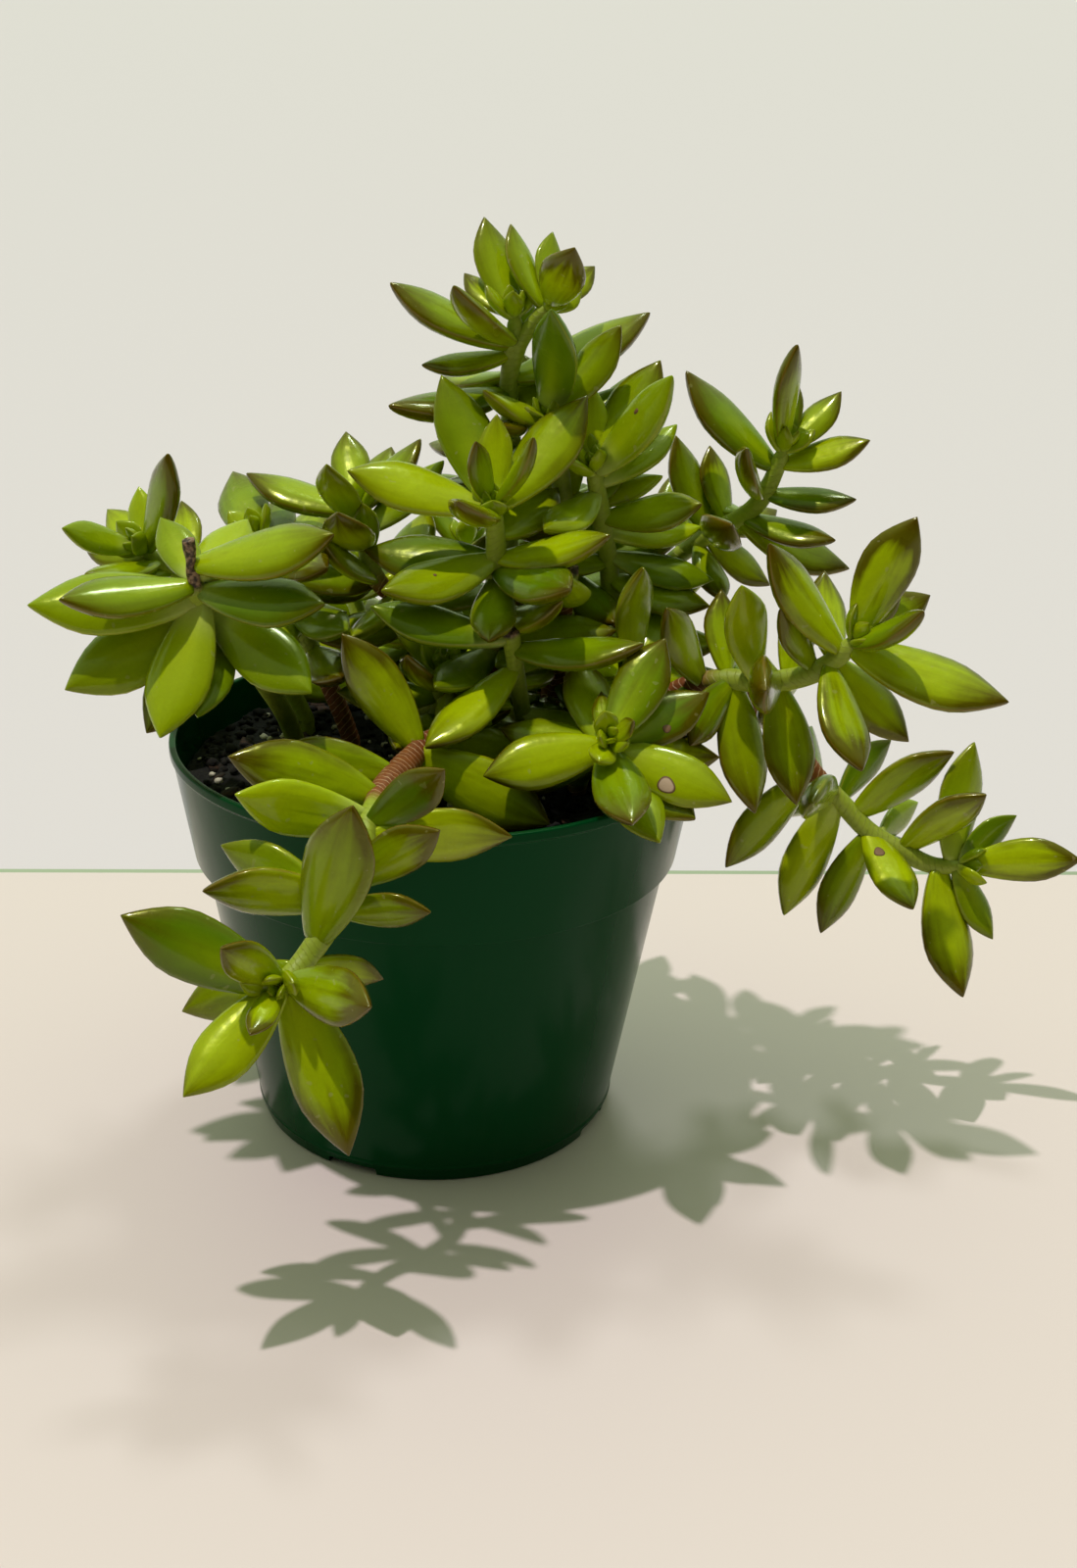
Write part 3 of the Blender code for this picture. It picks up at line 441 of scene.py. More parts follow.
class PotSettings(bpy.types.PropertyGroup):
    """Sizes and finish of the pot."""

    rim_radius: FloatProperty(
        name="Rim radius", description="Outer radius of the rim", default=POT_HIGH.x, unit="LENGTH")
    height: FloatProperty(
        name="Height", description="Height of the pot", default=POT_HIGH.z, unit="LENGTH")
    wall: FloatProperty(
        name="Wall", description="Thickness of the moulded wall", default=1.2 * MM, unit="LENGTH")
    segments: IntProperty(
        name="Segments", description="Faces round the pot", default=144, min=24)
    colour: colour_setting("Plastic", "Colour of the plastic", "043a1a")


class LeafSettings(bpy.types.PropertyGroup):
    """Colours of the leaves and stems."""

    lime: colour_setting("Lime", "Sunlit young leaf", "b0c203")
    olive: colour_setting("Olive", "Older leaf", "587802")
    bronze: colour_setting("Bronze", "Wash on tips and margins", "5a5200")
    rust: colour_setting("Rust", "Reddest tips", "4e3000")
    bark: colour_setting("Bark", "Corky old stem", "985520")


class SoilSettings(bpy.types.PropertyGroup):
    """Potting mix and what lies in it."""

    relief: FloatProperty(
        name="Relief", description="Unevenness of the surface", default=1.5 * MM, unit="LENGTH")
    crumbs: IntProperty(
        name="Crumbs", description="Number of peat crumbs", default=1100, min=1)
    perlite: IntProperty(
        name="Perlite", description="Number of perlite grains", default=170, min=1)
    chips: IntProperty(
        name="Bark chips", description="Number of bark chips", default=70, min=1)


class StageSettings(bpy.types.PropertyGroup):
    """Light and floor around the plant."""

    key_strength: FloatProperty(
        name="Key light", description="Strength of the high main light", default=1.98)
    second_strength: FloatProperty(
        name="Second light", description="Strength of the weak light from behind", default=0.55)
    surround: FloatProperty(
        name="Surround", description="Brightness of the surround overhead", default=0.7)
    floor: colour_setting("Floor", "Colour of the floor", "dac9cf")
    wall: colour_setting("Far board", "Colour of the board behind", "d3c8d7")


# Placing the leaves


def join_rings(rings, tip=None):
    """Vertices and faces of a closed skin over rings of points, flat at its end or with a tip."""
    sides = len(rings[0])
    points = [point for ring in rings for point in ring]
    last = len(points) - sides
    faces = [tuple(range(sides))]
    for side in range(sides):
        after = (side + 1) % sides
        faces += [(first + side, first + after, first + sides + after, first + sides + side)
                  for first in range(0, last, sides)]
        if tip is not None:
            faces.append((last + side, last + after, last + sides))
    if tip is None:
        faces.append(tuple(range(last, last + sides)))
    else:
        points.append(tip)
    return points, faces


def smooth_route(route, step=STEM_STEP):
    """Points along a smooth curve through a route, which stays straight inside the soil."""
    marks = [Vector(point) * MM for point in route]
    ends = [marks[0] * 2 - marks[1], *marks, marks[-1] * 2 - marks[-2]]
    path = [marks[0]]
    for index in range(1, len(ends) - 2):
        before, start, end, after = ends[index - 1:index + 3]
        pieces = 1 if index == 1 else max(1, round((end - start).length / step))
        for piece in range(1, pieces + 1):
            share = piece / pieces
            path.append(0.5 * (2 * start + (end - before) * share
                               + (2 * before - 5 * start + 4 * end - after) * share ** 2
                               + (3 * start - before - 3 * end + after) * share ** 3))
    return path


def tube_solid(path, radius, flat_end):
    """Tube of a few sides along a path; its far end is flat, or a small pointed bud."""
    rings = []
    side = Vector((1.0, 0.0, 0.0))
    for index, point in enumerate(path):
        ahead = path[min(index + 1, len(path) - 1)] - path[max(index - 1, 0)]
        ahead.normalize()
        side = (side - ahead * side.dot(ahead)).normalized()
        other = ahead.cross(side)
        turns = [math.tau * step / STEM_SIDES for step in range(STEM_SIDES)]
        rings.append([point + (side * math.cos(turn) + other * math.sin(turn)) * radius for turn in turns])
    return join_rings(rings, None if flat_end else path[-1] + ahead * BUD_LENGTH)


def leaf_width_at(share):
    """Width of a leaf along its length, as a share of its greatest width."""
    if share < LEAF_WIDEST_AT:
        swell = math.sin(math.pi / 2 * share / LEAF_WIDEST_AT) ** LEAF_FULLNESS
        return LEAF_BASE_WIDTH + (1 - LEAF_BASE_WIDTH) * swell
    taper = (share - LEAF_WIDEST_AT) / (1 - LEAF_WIDEST_AT)
    return max(0.0, 1 - taper ** 2) ** LEAF_FULLNESS


def leaf_solid(leaf, grow=0.0, start=0.0):
    """Simple form of a leaf for crossing tests: flat above, keeled below, its tip curved up."""
    reach = leaf.tip - leaf.root
    length = reach.length
    along = reach / length
    across = along.cross(leaf.upper).normalized()
    thickness = leaf.width * LEAF_THICKNESS_SHARE
    rings = []
    for share in LEAF_RINGS:
        share = start + share * (1 - start)
        width = leaf_width_at(share)
        sag = LEAF_BOW * length * 4 * share * (1 - share)
        centre = leaf.root + reach * share - leaf.upper * sag
        half = leaf.width / 2 * width + grow
        deep = thickness * width ** LEAF_TIP_THINNING + grow
        rings.append([centre + across * half * side + leaf.upper * deep * height
                      for side, height in LEAF_SECTION])
    return join_rings(rings, leaf.tip + along * grow)


def make_leaf(path, spec, width_share, facing):
    """Leaf that leaves a stem's path a distance below its tip, towards a heading and rise."""
    below_tip, heading, rise, length = spec
    left = below_tip * MM
    index = len(path) - 1
    while index > 1 and (path[index] - path[index - 1]).length < left:
        left -= (path[index] - path[index - 1]).length
        index -= 1
    tangent = (path[index] - path[index - 1]).normalized()
    root = path[index] - tangent * left
    turn = math.radians(heading)
    lift = math.radians(rise)
    along = Vector((math.cos(turn) * math.cos(lift), math.sin(turn) * math.cos(lift), math.sin(lift)))
    upper = tangent + Vector((0.0, -facing, UPWARD_PULL))
    upper = (upper - along * upper.dot(along)).normalized()
    return Leaf(root, root + along * length * MM, upper, length * MM * width_share)


def solid_tree(solid):
    """Search tree over a solid's faces for crossing tests."""
    return BVHTree.FromPolygons([tuple(point) for point in solid[0]], solid[1], epsilon=0.0)


def solid_box(solid):
    """Lowest and highest corner of a solid."""
    return [[pick(point[axis] for point in solid[0]) for axis in range(3)] for pick in (min, max)]


class Obstacles:
    """Everything placed so far, with a quick test of what a new leaf would cross."""

    def __init__(self):
        self.items = []

    def add(self, owner, solid):
        """Remember a solid and the shoot or body that it belongs to."""
        self.items.append((owner, *solid_box(solid), solid_tree(solid)))

    def crossed(self, owner, solid, own):
        """True where the solid crosses a thing of its own shoot, or else of any other."""
        low, high = solid_box(solid)
        tree = None
        for other, other_low, other_high, other_tree in self.items:
            if (other == owner) != own:
                continue
            if any(low[axis] > other_high[axis] or high[axis] < other_low[axis] for axis in range(3)):
                continue
            tree = tree or solid_tree(solid)
            if tree.overlap(other_tree):
                return True
        return False


def bend_cost(change):
    """How strong a change of heading, rise and length is."""
    turn, lift, scale = change
    return abs(turn) + abs(lift) + (1 - scale) * SHORTENING_COST


def bends():
    """Changes of heading, rise and length to try, the gentlest first."""
    steps = range(-BEND_STEPS, BEND_STEPS + 1)
    changes = [(turn * BEND_STEP, lift * BEND_STEP, scale)
               for turn in steps for lift in steps for scale in SHORTENINGS]
    return sorted(changes, key=bend_cost)


BENDS = bends()


def place_leaf(owner, path, spec, width_share, facing, around, inside, spare):
    """Leaf bent as little as clears the rest, or None where nothing does."""
    below_tip, heading, rise, length = spec
    for keep_siblings_clear in ((True,) if spare else (True, False)):
        for turn, lift, scale in BENDS:
            bent = (below_tip, heading + turn, rise + lift, length * scale)
            leaf = make_leaf(path, bent, width_share, facing)
            if around.crossed(owner, leaf_solid(leaf, grow=LEAF_CLEARANCE), own=False):
                continue
            outer_leaf = leaf_solid(leaf, start=SIBLING_START)
            if keep_siblings_clear and inside.crossed(owner, outer_leaf, own=True):
                continue
            return leaf
    return None


def fill_leaves(plan):
    """Leaves in a golden spiral down the stem, short and steep at the tip, for a shoot's rest."""
    specs = []
    for count in range(plan.fill_count):
        below_tip = plan.fill_from + FILL_SPACING * count
        age = min(1.0, below_tip / FILL_GROWN_AT)
        heading = plan.fill_heading + GOLDEN_ANGLE * count
        rise = FILL_TIP_RISE + (FILL_GROWN_RISE - FILL_TIP_RISE) * age
        length = FILL_TIP_LENGTH + (FILL_GROWN_LENGTH - FILL_TIP_LENGTH) * age
        specs.append((below_tip, heading, rise, length))
    return specs


def plan_leaves():
    """Leaves of every shoot, bent clear of each other, of the stems and of the pot."""
    around = Obstacles()
    inside = Obstacles()
    for name in ("pot", "soil"):
        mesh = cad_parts[name].data
        faces = [tuple(face.vertices) for face in mesh.polygons]
        around.add(name, ([vertex.co for vertex in mesh.vertices], faces))
    paths = {}
    for plan in SHOOTS:
        paths[plan.name] = [smooth_route(route) for route in plan.routes]
        for path in paths[plan.name]:
            stem = tube_solid(path, plan.radius, plan.cut)
            around.add(plan.name, stem)
            inside.add(plan.name, stem)
    draw = random.Random(SEED)
    placed = {plan.name: [] for plan in SHOOTS}
    for spare in (False, True):
        for plan in SHOOTS:
            specs = fill_leaves(plan) if spare else plan.leaves
            for spec in specs:
                path = paths[plan.name][spec[4] if len(spec) > 4 else 0]
                width_share = LEAF_WIDTH_SHARE * draw.uniform(*LEAF_WIDTH_SPREAD)
                facing = plan.facing * FORWARD_PULL * draw.uniform(*FORWARD_PULL_SPREAD)
                leaf = place_leaf(plan.name, path, spec[:4], width_share, facing, around, inside, spare)
                if leaf:
                    placed[plan.name].append(leaf)
                    around.add(plan.name, leaf_solid(leaf))
                    inside.add(plan.name, leaf_solid(leaf, start=SIBLING_START))
    return placed


# Node trees and materials

COLOURS = {"data_type": "RGBA"}
SMOOTH = {"interpolation_type": "SMOOTHSTEP"}


def plug(node, inputs):
    """Gives a node's inputs their values, and links those whose value is another node's output.

    The inputs are named, or they stand in the order in which the node shows its own.
    """
    if isinstance(inputs, dict):
        pairs = [(node.inputs[name], value) for name, value in inputs.items()]
    else:
        pairs = zip([socket for socket in node.inputs if socket.enabled], inputs)
    for socket, value in pairs:
        if isinstance(value, bpy.types.NodeSocket):
            node.id_data.links.new(value, socket)
        else:
            socket.default_value = value


def add_node(tree, kind, inputs=(), output=None, **settings):
    """Adds a node with its settings and links, and gives back one output: the first, if unnamed."""
    node = tree.nodes.new("ShaderNode" + kind)
    for name, value in settings.items():
        setattr(node, name, value)
    plug(node, inputs)
    return node.outputs[output] if output else next(socket for socket in node.outputs if socket.enabled)


def new_material(name):
    """Empty node material: itself, its Principled shader and what adds a node to it."""
    made = bpy.data.materials.new(name)
    made.use_nodes = True
    return made, made.node_tree.nodes["Principled BSDF"], functools.partial(add_node, made.node_tree)


def leaf_skin(settings):
    """Living sedum leaf: wet flesh under a smooth waxy skin, so light glows through it.

    The sun turns tips and margins bronze, in streaks that run along the leaf.
    """
    made, shader, add = new_material("waxy_sedum_leaf")
    place = add("TexCoord", output="Object")
    along, side, tone, blush = [
        add("Attribute", output="Fac", attribute_name=name)
        for name in ("leaf_along", "leaf_side", "leaf_tone", "leaf_blush")]
    rim = add("Math", (side,), operation="ABSOLUTE")
    blotch = add("TexNoise", {"Vector": place, "Scale": 1 / (6 * MM), "Detail": 2.0})
    grain = add("TexNoise", {"Vector": place, "Scale": 1 / (0.7 * MM), "Detail": 3.0})

    # Streaks: about six to a leaf's width and two to its length, different on each leaf
    lengthwise = add("CombineXYZ", (
        add("Math", (side, 3.2), operation="MULTIPLY"),
        add("Math", (along, 1.6), operation="MULTIPLY"),
        add("Math", (tone, 60.0), operation="MULTIPLY")))
    streak = add("TexNoise", {"Vector": lengthwise, "Scale": 1.0, "Detail": 3.0})

    # Flesh between lime and olive, brightest along the middle near the foot
    flesh = add("Mix", (tone, settings.lime, settings.olive), **COLOURS)
    heart = add("Math", (
        add("MapRange", (rim, 0.8, 0.0, 0.0, 0.45), **SMOOTH),
        add("MapRange", (along, 0.9, 0.1), **SMOOTH)), operation="MULTIPLY")
    flesh = add("Mix", (heart, flesh, linear("bed00a")), **COLOURS)

    # Bronze gathers at the tip and the margin, and streaks and blotches break it up
    margin = add("Math", (
        add("MapRange", (rim, 0.35, 1.0, 0.0, 0.55), **SMOOTH),
        add("MapRange", (along, 0.0, 0.6), **SMOOTH)), operation="MULTIPLY")
    tip = add("MapRange", (along, 0.55, 1.0, -0.82, -0.02), **SMOOTH)
    wash = add("Math", (margin, tip), operation="ADD")
    wash = add("Math", (streak, 1.1, wash), operation="MULTIPLY_ADD")
    wash = add("Math", (blotch, 0.5, wash), operation="MULTIPLY_ADD")
    sun = add("Math", (blush, 1.85), operation="MULTIPLY")
    cover = add("Math", (wash, sun), operation="MULTIPLY", use_clamp=True)
    skin = add("Mix", (cover, flesh, settings.bronze), **COLOURS)
    reddest = add("MapRange", (along, 0.84, 1.0, 0.0, 0.75), **SMOOTH)
    red = add("Math", (cover, reddest), operation="MULTIPLY")
    skin = add("Mix", (red, skin, settings.rust), **COLOURS)

    # Leaves that little sun has reached have a pale foot: partly their own paler base, partly painted light
    # that brightens such leaves where they lie in shade
    foot = add("Math", (
        add("MapRange", (along, 0.35, 0.02, 0.0, 0.6), **SMOOTH),
        add("MapRange", (blush, 0.4, 0.1), **SMOOTH)), operation="MULTIPLY")
    skin = add("Mix", (foot, skin, linear("ccd67e")), **COLOURS)

    # A thin line runs round the margin, brown where the sun has reached the leaf; its pale colour elsewhere
    # is partly the margin's own, partly painted glow of light shining through the thin edge
    sunned = add("MapRange", (blush, 0.1, 0.6), **SMOOTH)
    edge = add("Mix", (sunned, linear("a8a83c"), linear("7c5620")), **COLOURS)
    line = add("MapRange", (rim, 0.972, 0.994, 0.0, 0.75), **SMOOTH)
    skin = add("Mix", (line, skin, edge), **COLOURS)

    # A few dry flecks, and a fine mottle of deeper green
    speckle = add("TexNoise", {"Vector": place, "Scale": 1 / (1.6 * MM), "Detail": 0.0})
    fleck = add("MapRange", (speckle, 0.79, 0.82, 0.0, 0.25), **SMOOTH)
    skin = add("Mix", (fleck, skin, linear("b5ad7c")), **COLOURS)
    mottle = add("Math", (grain, 0.2), operation="MULTIPLY")
    skin = add("Mix", (mottle, skin, linear("4a5604")), **COLOURS)

    # Wax that is thinner in places, over pores, shallow dents and faint ridges
    wax = add("MapRange", (blotch, 0.0, 1.0, 0.16, 0.34))
    dent = add("TexNoise", {"Vector": place, "Scale": 1 / (3.5 * MM), "Detail": 1.0})
    pores = add("Bump", {"Height": grain, "Distance": 0.04 * MM, "Strength": 0.5})
    dents = add("Bump", {"Height": dent, "Distance": 0.3 * MM, "Strength": 0.6, "Normal": pores})
    ridges = add("Bump", {"Height": streak, "Distance": 0.25 * MM, "Strength": 0.4, "Normal": dents})
    plug(shader, {
        "Base Color": skin, "Roughness": wax, "Normal": ridges, "IOR": 1.45,
        "Specular IOR Level": 0.36, "Specular Tint": linear("f0ff60"),
        "Coat Weight": 0.44, "Coat Roughness": 0.12,
        "Subsurface Weight": 0.3, "Subsurface Radius": (0.75, 1.0, 0.1), "Subsurface Scale": 2 * MM})
    return made


def stem_skin(settings):
    """Sedum stem: smooth and green while young, corky where old, withered where it was cut.

    Fallen leaves have left thin rings round it, faint on green stem and pale on bark.
    """
    made, shader, add = new_material("ringed_sedum_stem")
    place = add("TexCoord", output="Object")
    bark, dry, rings = [
        add("Attribute", output="Fac", attribute_name=name)
        for name in ("stem_bark", "stem_dry", "stem_rings")]
    fleck = add("TexNoise", {"Vector": place, "Scale": 1 / (1.1 * MM), "Detail": 3.0})
    waver = add("TexNoise", {"Vector": place, "Scale": 1 / (2.5 * MM), "Detail": 3.0})
    wandering = add("Math", (waver, 1.1, rings), operation="MULTIPLY_ADD")
    between = add("Math", (wandering, 0.5), operation="PINGPONG")
    ring = add("MapRange", (between, 0.1, 0.02), **SMOOTH)

    green = add("Mix", (fleck, linear("87991a"), linear("a3b03a")), **COLOURS)
    faint = add("Math", (ring, 0.22), operation="MULTIPLY")
    green = add("Mix", (faint, green, linear("7a751c")), **COLOURS)
    brown = add("Mix", (fleck, settings.bark, linear("5a2c14")), **COLOURS)
    clear = add("Math", (ring, 0.7), operation="MULTIPLY")
    brown = add("Mix", (clear, brown, linear("e2c098")), **COLOURS)
    skin = add("Mix", (bark, green, brown), **COLOURS)
    crust = add("MapRange", (fleck, 0.4, 0.66), **SMOOTH)
    dead = add("Mix", (crust, linear("33211a"), linear("a3826a")), **COLOURS)
    skin = add("Mix", (dry, skin, dead), **COLOURS)

    corky = add("Bump", {"Height": fleck, "Distance": 0.15 * MM, "Strength": 0.7})
    ringed = add("Bump", {"Height": ring, "Distance": 0.15 * MM, "Strength": 0.6, "Normal": corky})
    plug(shader, {
        "Base Color": skin, "Roughness": 0.5, "Normal": ringed, "IOR": 1.45,
        "Subsurface Weight": 0.12, "Subsurface Radius": (1.0, 0.8, 0.3), "Subsurface Scale": 1 * MM})
    return made


def scar_tissue():
    """Healed wound of a leaf: a dry, matt patch, pinkish grey with a brown outline."""
    made, shader, add = new_material("healed_leaf_scar")
    place = add("TexCoord", output="Object")
    rim, pale = [add("Attribute", output="Fac", attribute_name=name) for name in ("mark_rim", "mark_pale")]
    fibre = add("TexNoise", {"Vector": place, "Scale": 1 / (0.5 * MM), "Detail": 4.0})
    tissue = add("Mix", (pale, linear("6e4a22"), linear("cdb39c")), **COLOURS)
    outline = add("MapRange", (rim, 0.72, 0.9), **SMOOTH)
    tissue = add("Mix", (outline, tissue, linear("593416")), **COLOURS)
    mottle = add("Math", (fibre, 0.4), operation="MULTIPLY")
    tissue = add("Mix", (mottle, tissue, linear("8a6a4e")), **COLOURS)
    rough = add("Bump", {"Height": fibre, "Distance": 0.1 * MM, "Strength": 0.6})
    plug(shader, {"Base Color": tissue, "Roughness": 0.7, "Normal": rough})
    return made


def pot_plastic(settings):
    """Injection moulded polypropylene: dyed through, glossy, with faint flow lines and dust."""
    made, shader, add = new_material("moulded_polypropylene")
    place = add("TexCoord", output="Object")
    axes = add("SeparateXYZ", (place,)).node.outputs
    turn = add("Math", (axes["Y"], axes["X"]), operation="ARCTAN2")

    # Flow lines: 2.5 mm apart round the pot, and drawn out up its wall
    arc = add("Math", (turn, BASE_RADIUS), operation="MULTIPLY")
    drawn = add("Math", (axes["Z"], 0.06), operation="MULTIPLY")
    upwards = add("CombineXYZ", (arc, drawn))
    streak = add("TexNoise", {"Vector": upwards, "Scale": 1 / (2.5 * MM), "Detail": 4.0})

    # Dust clings to the lines in patches
    cloud = add("TexNoise", {"Vector": place, "Scale": 1 / (18 * MM), "Detail": 4.0})
    dust = add("Math", (
        add("MapRange", (cloud, 0.45, 0.8, 0.0, 0.05), **SMOOTH),
        add("MapRange", (streak, 0.4, 0.8), **SMOOTH)), operation="MULTIPLY")
    colour = add("Mix", (dust, settings.colour, linear("4f5c48")), **COLOURS)

    gloss = add("MapRange", (cloud, 0.0, 1.0, 0.13, 0.27))
    sink = add("TexNoise", {"Vector": place, "Scale": 1 / (14 * MM), "Detail": 1.0})
    wavy = add("Bump", {"Height": sink, "Distance": 0.22 * MM, "Strength": 0.5})
    lined = add("Bump", {"Height": streak, "Distance": 0.03 * MM, "Strength": 0.5, "Normal": wavy})
    plug(shader, {
        "Base Color": colour, "Roughness": gloss, "Normal": lined, "IOR": 1.49,
        "Specular IOR Level": 0.1, "Specular Tint": linear("b4ffcc")})
    return made


def peat(name, dark, light, size):
    """Moist peat or bark: dark, matt and crumbly, with painted light on raised grains and painted shade in
    hollows.
    """
    made, shader, add = new_material(name)
    place = add("TexCoord", output="Object")
    grain = add("TexNoise", {"Vector": place, "Scale": 1 / size, "Detail": 5.0, "Roughness": 0.65})
    # Painted light and shade: the same noise as the bump makes raised grains lighter and hollows darker
    raised_grain_painted_light = add("MapRange", (grain, 0.4, 0.75), **SMOOTH)
    colour = add("Mix", (raised_grain_painted_light, linear(dark), linear(light)), **COLOURS)
    crumbly = add("Bump", {"Height": grain, "Distance": size * 0.5, "Strength": 0.9})
    plug(shader, {"Base Color": colour, "Roughness": 0.92, "Normal": crumbly})
    return made


def perlite_glass():
    """Expanded perlite: frothed volcanic glass, off-white, matt and full of tiny pits."""
    made, shader, add = new_material("expanded_perlite")
    place = add("TexCoord", output="Object")
    pits = add("TexNoise", {"Vector": place, "Scale": 1 / (0.35 * MM), "Detail": 4.0})
    froth = add("Mix", (pits, linear("a39a86"), linear("efe9dc")), **COLOURS)
    pitted = add("Bump", {"Height": pits, "Distance": 0.15 * MM, "Strength": 0.8})
    plug(shader, {"Base Color": froth, "Roughness": 0.85, "Normal": pitted})
    return made


def painted_board(name, colour):
    """Plain matt paint on a board of the stage."""
    made, shader = new_material(name)[:2]
    plug(shader, {"Base Color": colour, "Roughness": 0.55})
    return made


# Modelling helpers


def choose(*pieces):
    """Object mode with only these pieces selected, and the first of them active."""
    if bpy.context.object and bpy.context.object.mode != "OBJECT":
        bpy.ops.object.mode_set(mode="OBJECT")
    bpy.ops.object.select_all(action="DESELECT")
    for piece in pieces:
        piece.select_set(True)
    if pieces:
        bpy.context.view_layer.objects.active = pieces[0]


def new_object(name, data):
    """Object of a mesh, light or camera, linked to the scene."""
    made = bpy.data.objects.new(name, data)
    bpy.context.scene.collection.objects.link(made)
    return made


def take_ball():
    """Mesh of the ball just added and the places of its vertices, without its object."""
    ball = bpy.context.object
    mesh = ball.data
    places = np.zeros(len(mesh.vertices) * 3)
    mesh.vertices.foreach_get("co", places)
    bpy.data.objects.remove(ball)
    return mesh, places.reshape(-1, 3)


def finish_piece(piece, slot, *materials, replaces=None):
    """Gives a finished piece its materials and its body, and hides the node that it stands for. The slot is
    not used.
    """
    for material in materials:
        piece.data.materials.append(material)
    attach(piece, BODY)
    if replaces:
        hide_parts(replaces)


def sphere_pattern(segments, rings):
    """Closed sleeve to shape: a sphere's mesh, with each vertex's share along and turn round."""
    choose()
    bpy.ops.mesh.primitive_uv_sphere_add(segments=segments, ring_count=rings, radius=1.0)
    mesh, places = take_ball()
    ring_share = 1 - np.arccos(np.clip(places[:, 2], -1, 1)) / math.pi
    return mesh, ring_share, np.arctan2(places[:, 1], places[:, 0])


def shaped_copy(mesh, name, places, values):
    """New object with a pattern's faces, its own places and a value per vertex for each name."""
    copy = mesh.copy()
    copy.name = name
    copy.vertices.foreach_set("co", np.ascontiguousarray(places, dtype=np.float32).ravel())
    for key, value in values.items():
        layer = copy.attributes.new(key, "FLOAT", "POINT")
        layer.data.foreach_set("value", np.ascontiguousarray(value, dtype=np.float32))
    return new_object(name, copy)


def join_pieces(name, pieces):
    """One object out of several, smooth, at the origin."""
    choose(*pieces)
    bpy.ops.object.join()
    joined = pieces[0]
    joined.name = name
    joined.data.name = name
    bpy.ops.object.shade_smooth()
    return joined


def round_corners(outline):
    """Points of an outline of (radius, height, rounding) corners, each rounded one made an arc."""
    smooth = []
    for index, (radius, height, rounding) in enumerate(outline):
        corner = Vector((radius, height))
        if rounding == 0 or index in (0, len(outline) - 1):
            smooth.append(corner)
            continue
        start = corner + (Vector(outline[index - 1][:2]) - corner).normalized() * rounding
        end = corner + (Vector(outline[index + 1][:2]) - corner).normalized() * rounding
        for step in range(CORNER_STEPS + 1):
            share = step / CORNER_STEPS
            smooth.append(start * (1 - share) ** 2 + corner * 2 * share * (1 - share) + end * share ** 2)
    return smooth


def spin_outline(name, outline, segments):
    """Closed body of an outline that starts and ends on the Z axis, by Blender's Spin."""
    mesh = bpy.data.meshes.new(name)
    mesh.from_pydata([(point.x, 0.0, point.y) for point in outline],
                     [(at, at + 1) for at in range(len(outline) - 1)], [])
    body = new_object(name, mesh)
    choose(body)
    bpy.ops.object.mode_set(mode="EDIT")
    bpy.ops.mesh.select_all(action="SELECT")
    bpy.ops.mesh.spin(steps=segments, angle=math.tau, center=(0, 0, 0), axis=(0, 0, 1))
    bpy.ops.mesh.select_all(action="SELECT")
    bpy.ops.mesh.remove_doubles(threshold=MERGE_DISTANCE)
    bpy.ops.mesh.normals_make_consistent(inside=False)
    bpy.ops.object.mode_set(mode="OBJECT")
    return body


# The pot


def collar_radius(height, settings):
    """Outer radius of the collar below its bead."""
    share = (height - settings.height + COLLAR_DROP) / (COLLAR_DROP - RIM_BEAD_HEIGHT)
    return COLLAR_FOOT_RADIUS + share * (settings.rim_radius - RIM_BEAD_DEPTH - COLLAR_FOOT_RADIUS)


def pot_outline(settings):
    """Corners of the pot, each a radius, height and rounding, up its outside and down its inside."""
    top = settings.height
    collar_foot = top - COLLAR_DROP
    bead_foot = top - RIM_BEAD_HEIGHT
    foot = BASE_RADIUS - FOOT_INSET
    rim = settings.rim_radius
    wall = settings.wall
    return [
        (0.0, 0.0, 0.0),
        (foot, 0.0, 0.5 * MM),
        (foot + FOOT_DRAFT, FOOT_HEIGHT - 0.8 * MM, 0.2 * MM),
        (BASE_RADIUS + MOULD_LINE, FOOT_HEIGHT - 0.5 * MM, 0.2 * MM),
        (BASE_RADIUS + MOULD_LINE, FOOT_HEIGHT + 0.1 * MM, 0.2 * MM),
        (BASE_RADIUS + 0.08 * MM, FOOT_HEIGHT + 0.5 * MM, 0.1 * MM),
        (BODY_TOP_RADIUS, collar_foot + 0.2 * MM, 0.4 * MM),
        (COLLAR_FOOT_RADIUS, collar_foot, 0.35 * MM),
        (collar_radius(bead_foot, settings), bead_foot, 0.3 * MM),
        (rim, bead_foot + 0.5 * MM, 0.3 * MM),
        (rim, top, 0.5 * MM),
        (rim - RIM_THICKNESS, top, 0.5 * MM),
        (rim - RIM_THICKNESS - RIM_INNER_SLOPE, bead_foot, 0.5 * MM),
        (COLLAR_FOOT_RADIUS - wall, collar_foot + COLLAR_INNER_RISE, 0.8 * MM),
        (BODY_TOP_RADIUS - wall, collar_foot, 0.8 * MM),
        (BASE_RADIUS - wall, FOOT_HEIGHT + 0.5 * MM, 0.3 * MM),
        (foot - wall, BASE_THICKNESS, 0.8 * MM),
        (0.0, BASE_THICKNESS, 0.0),
    ]


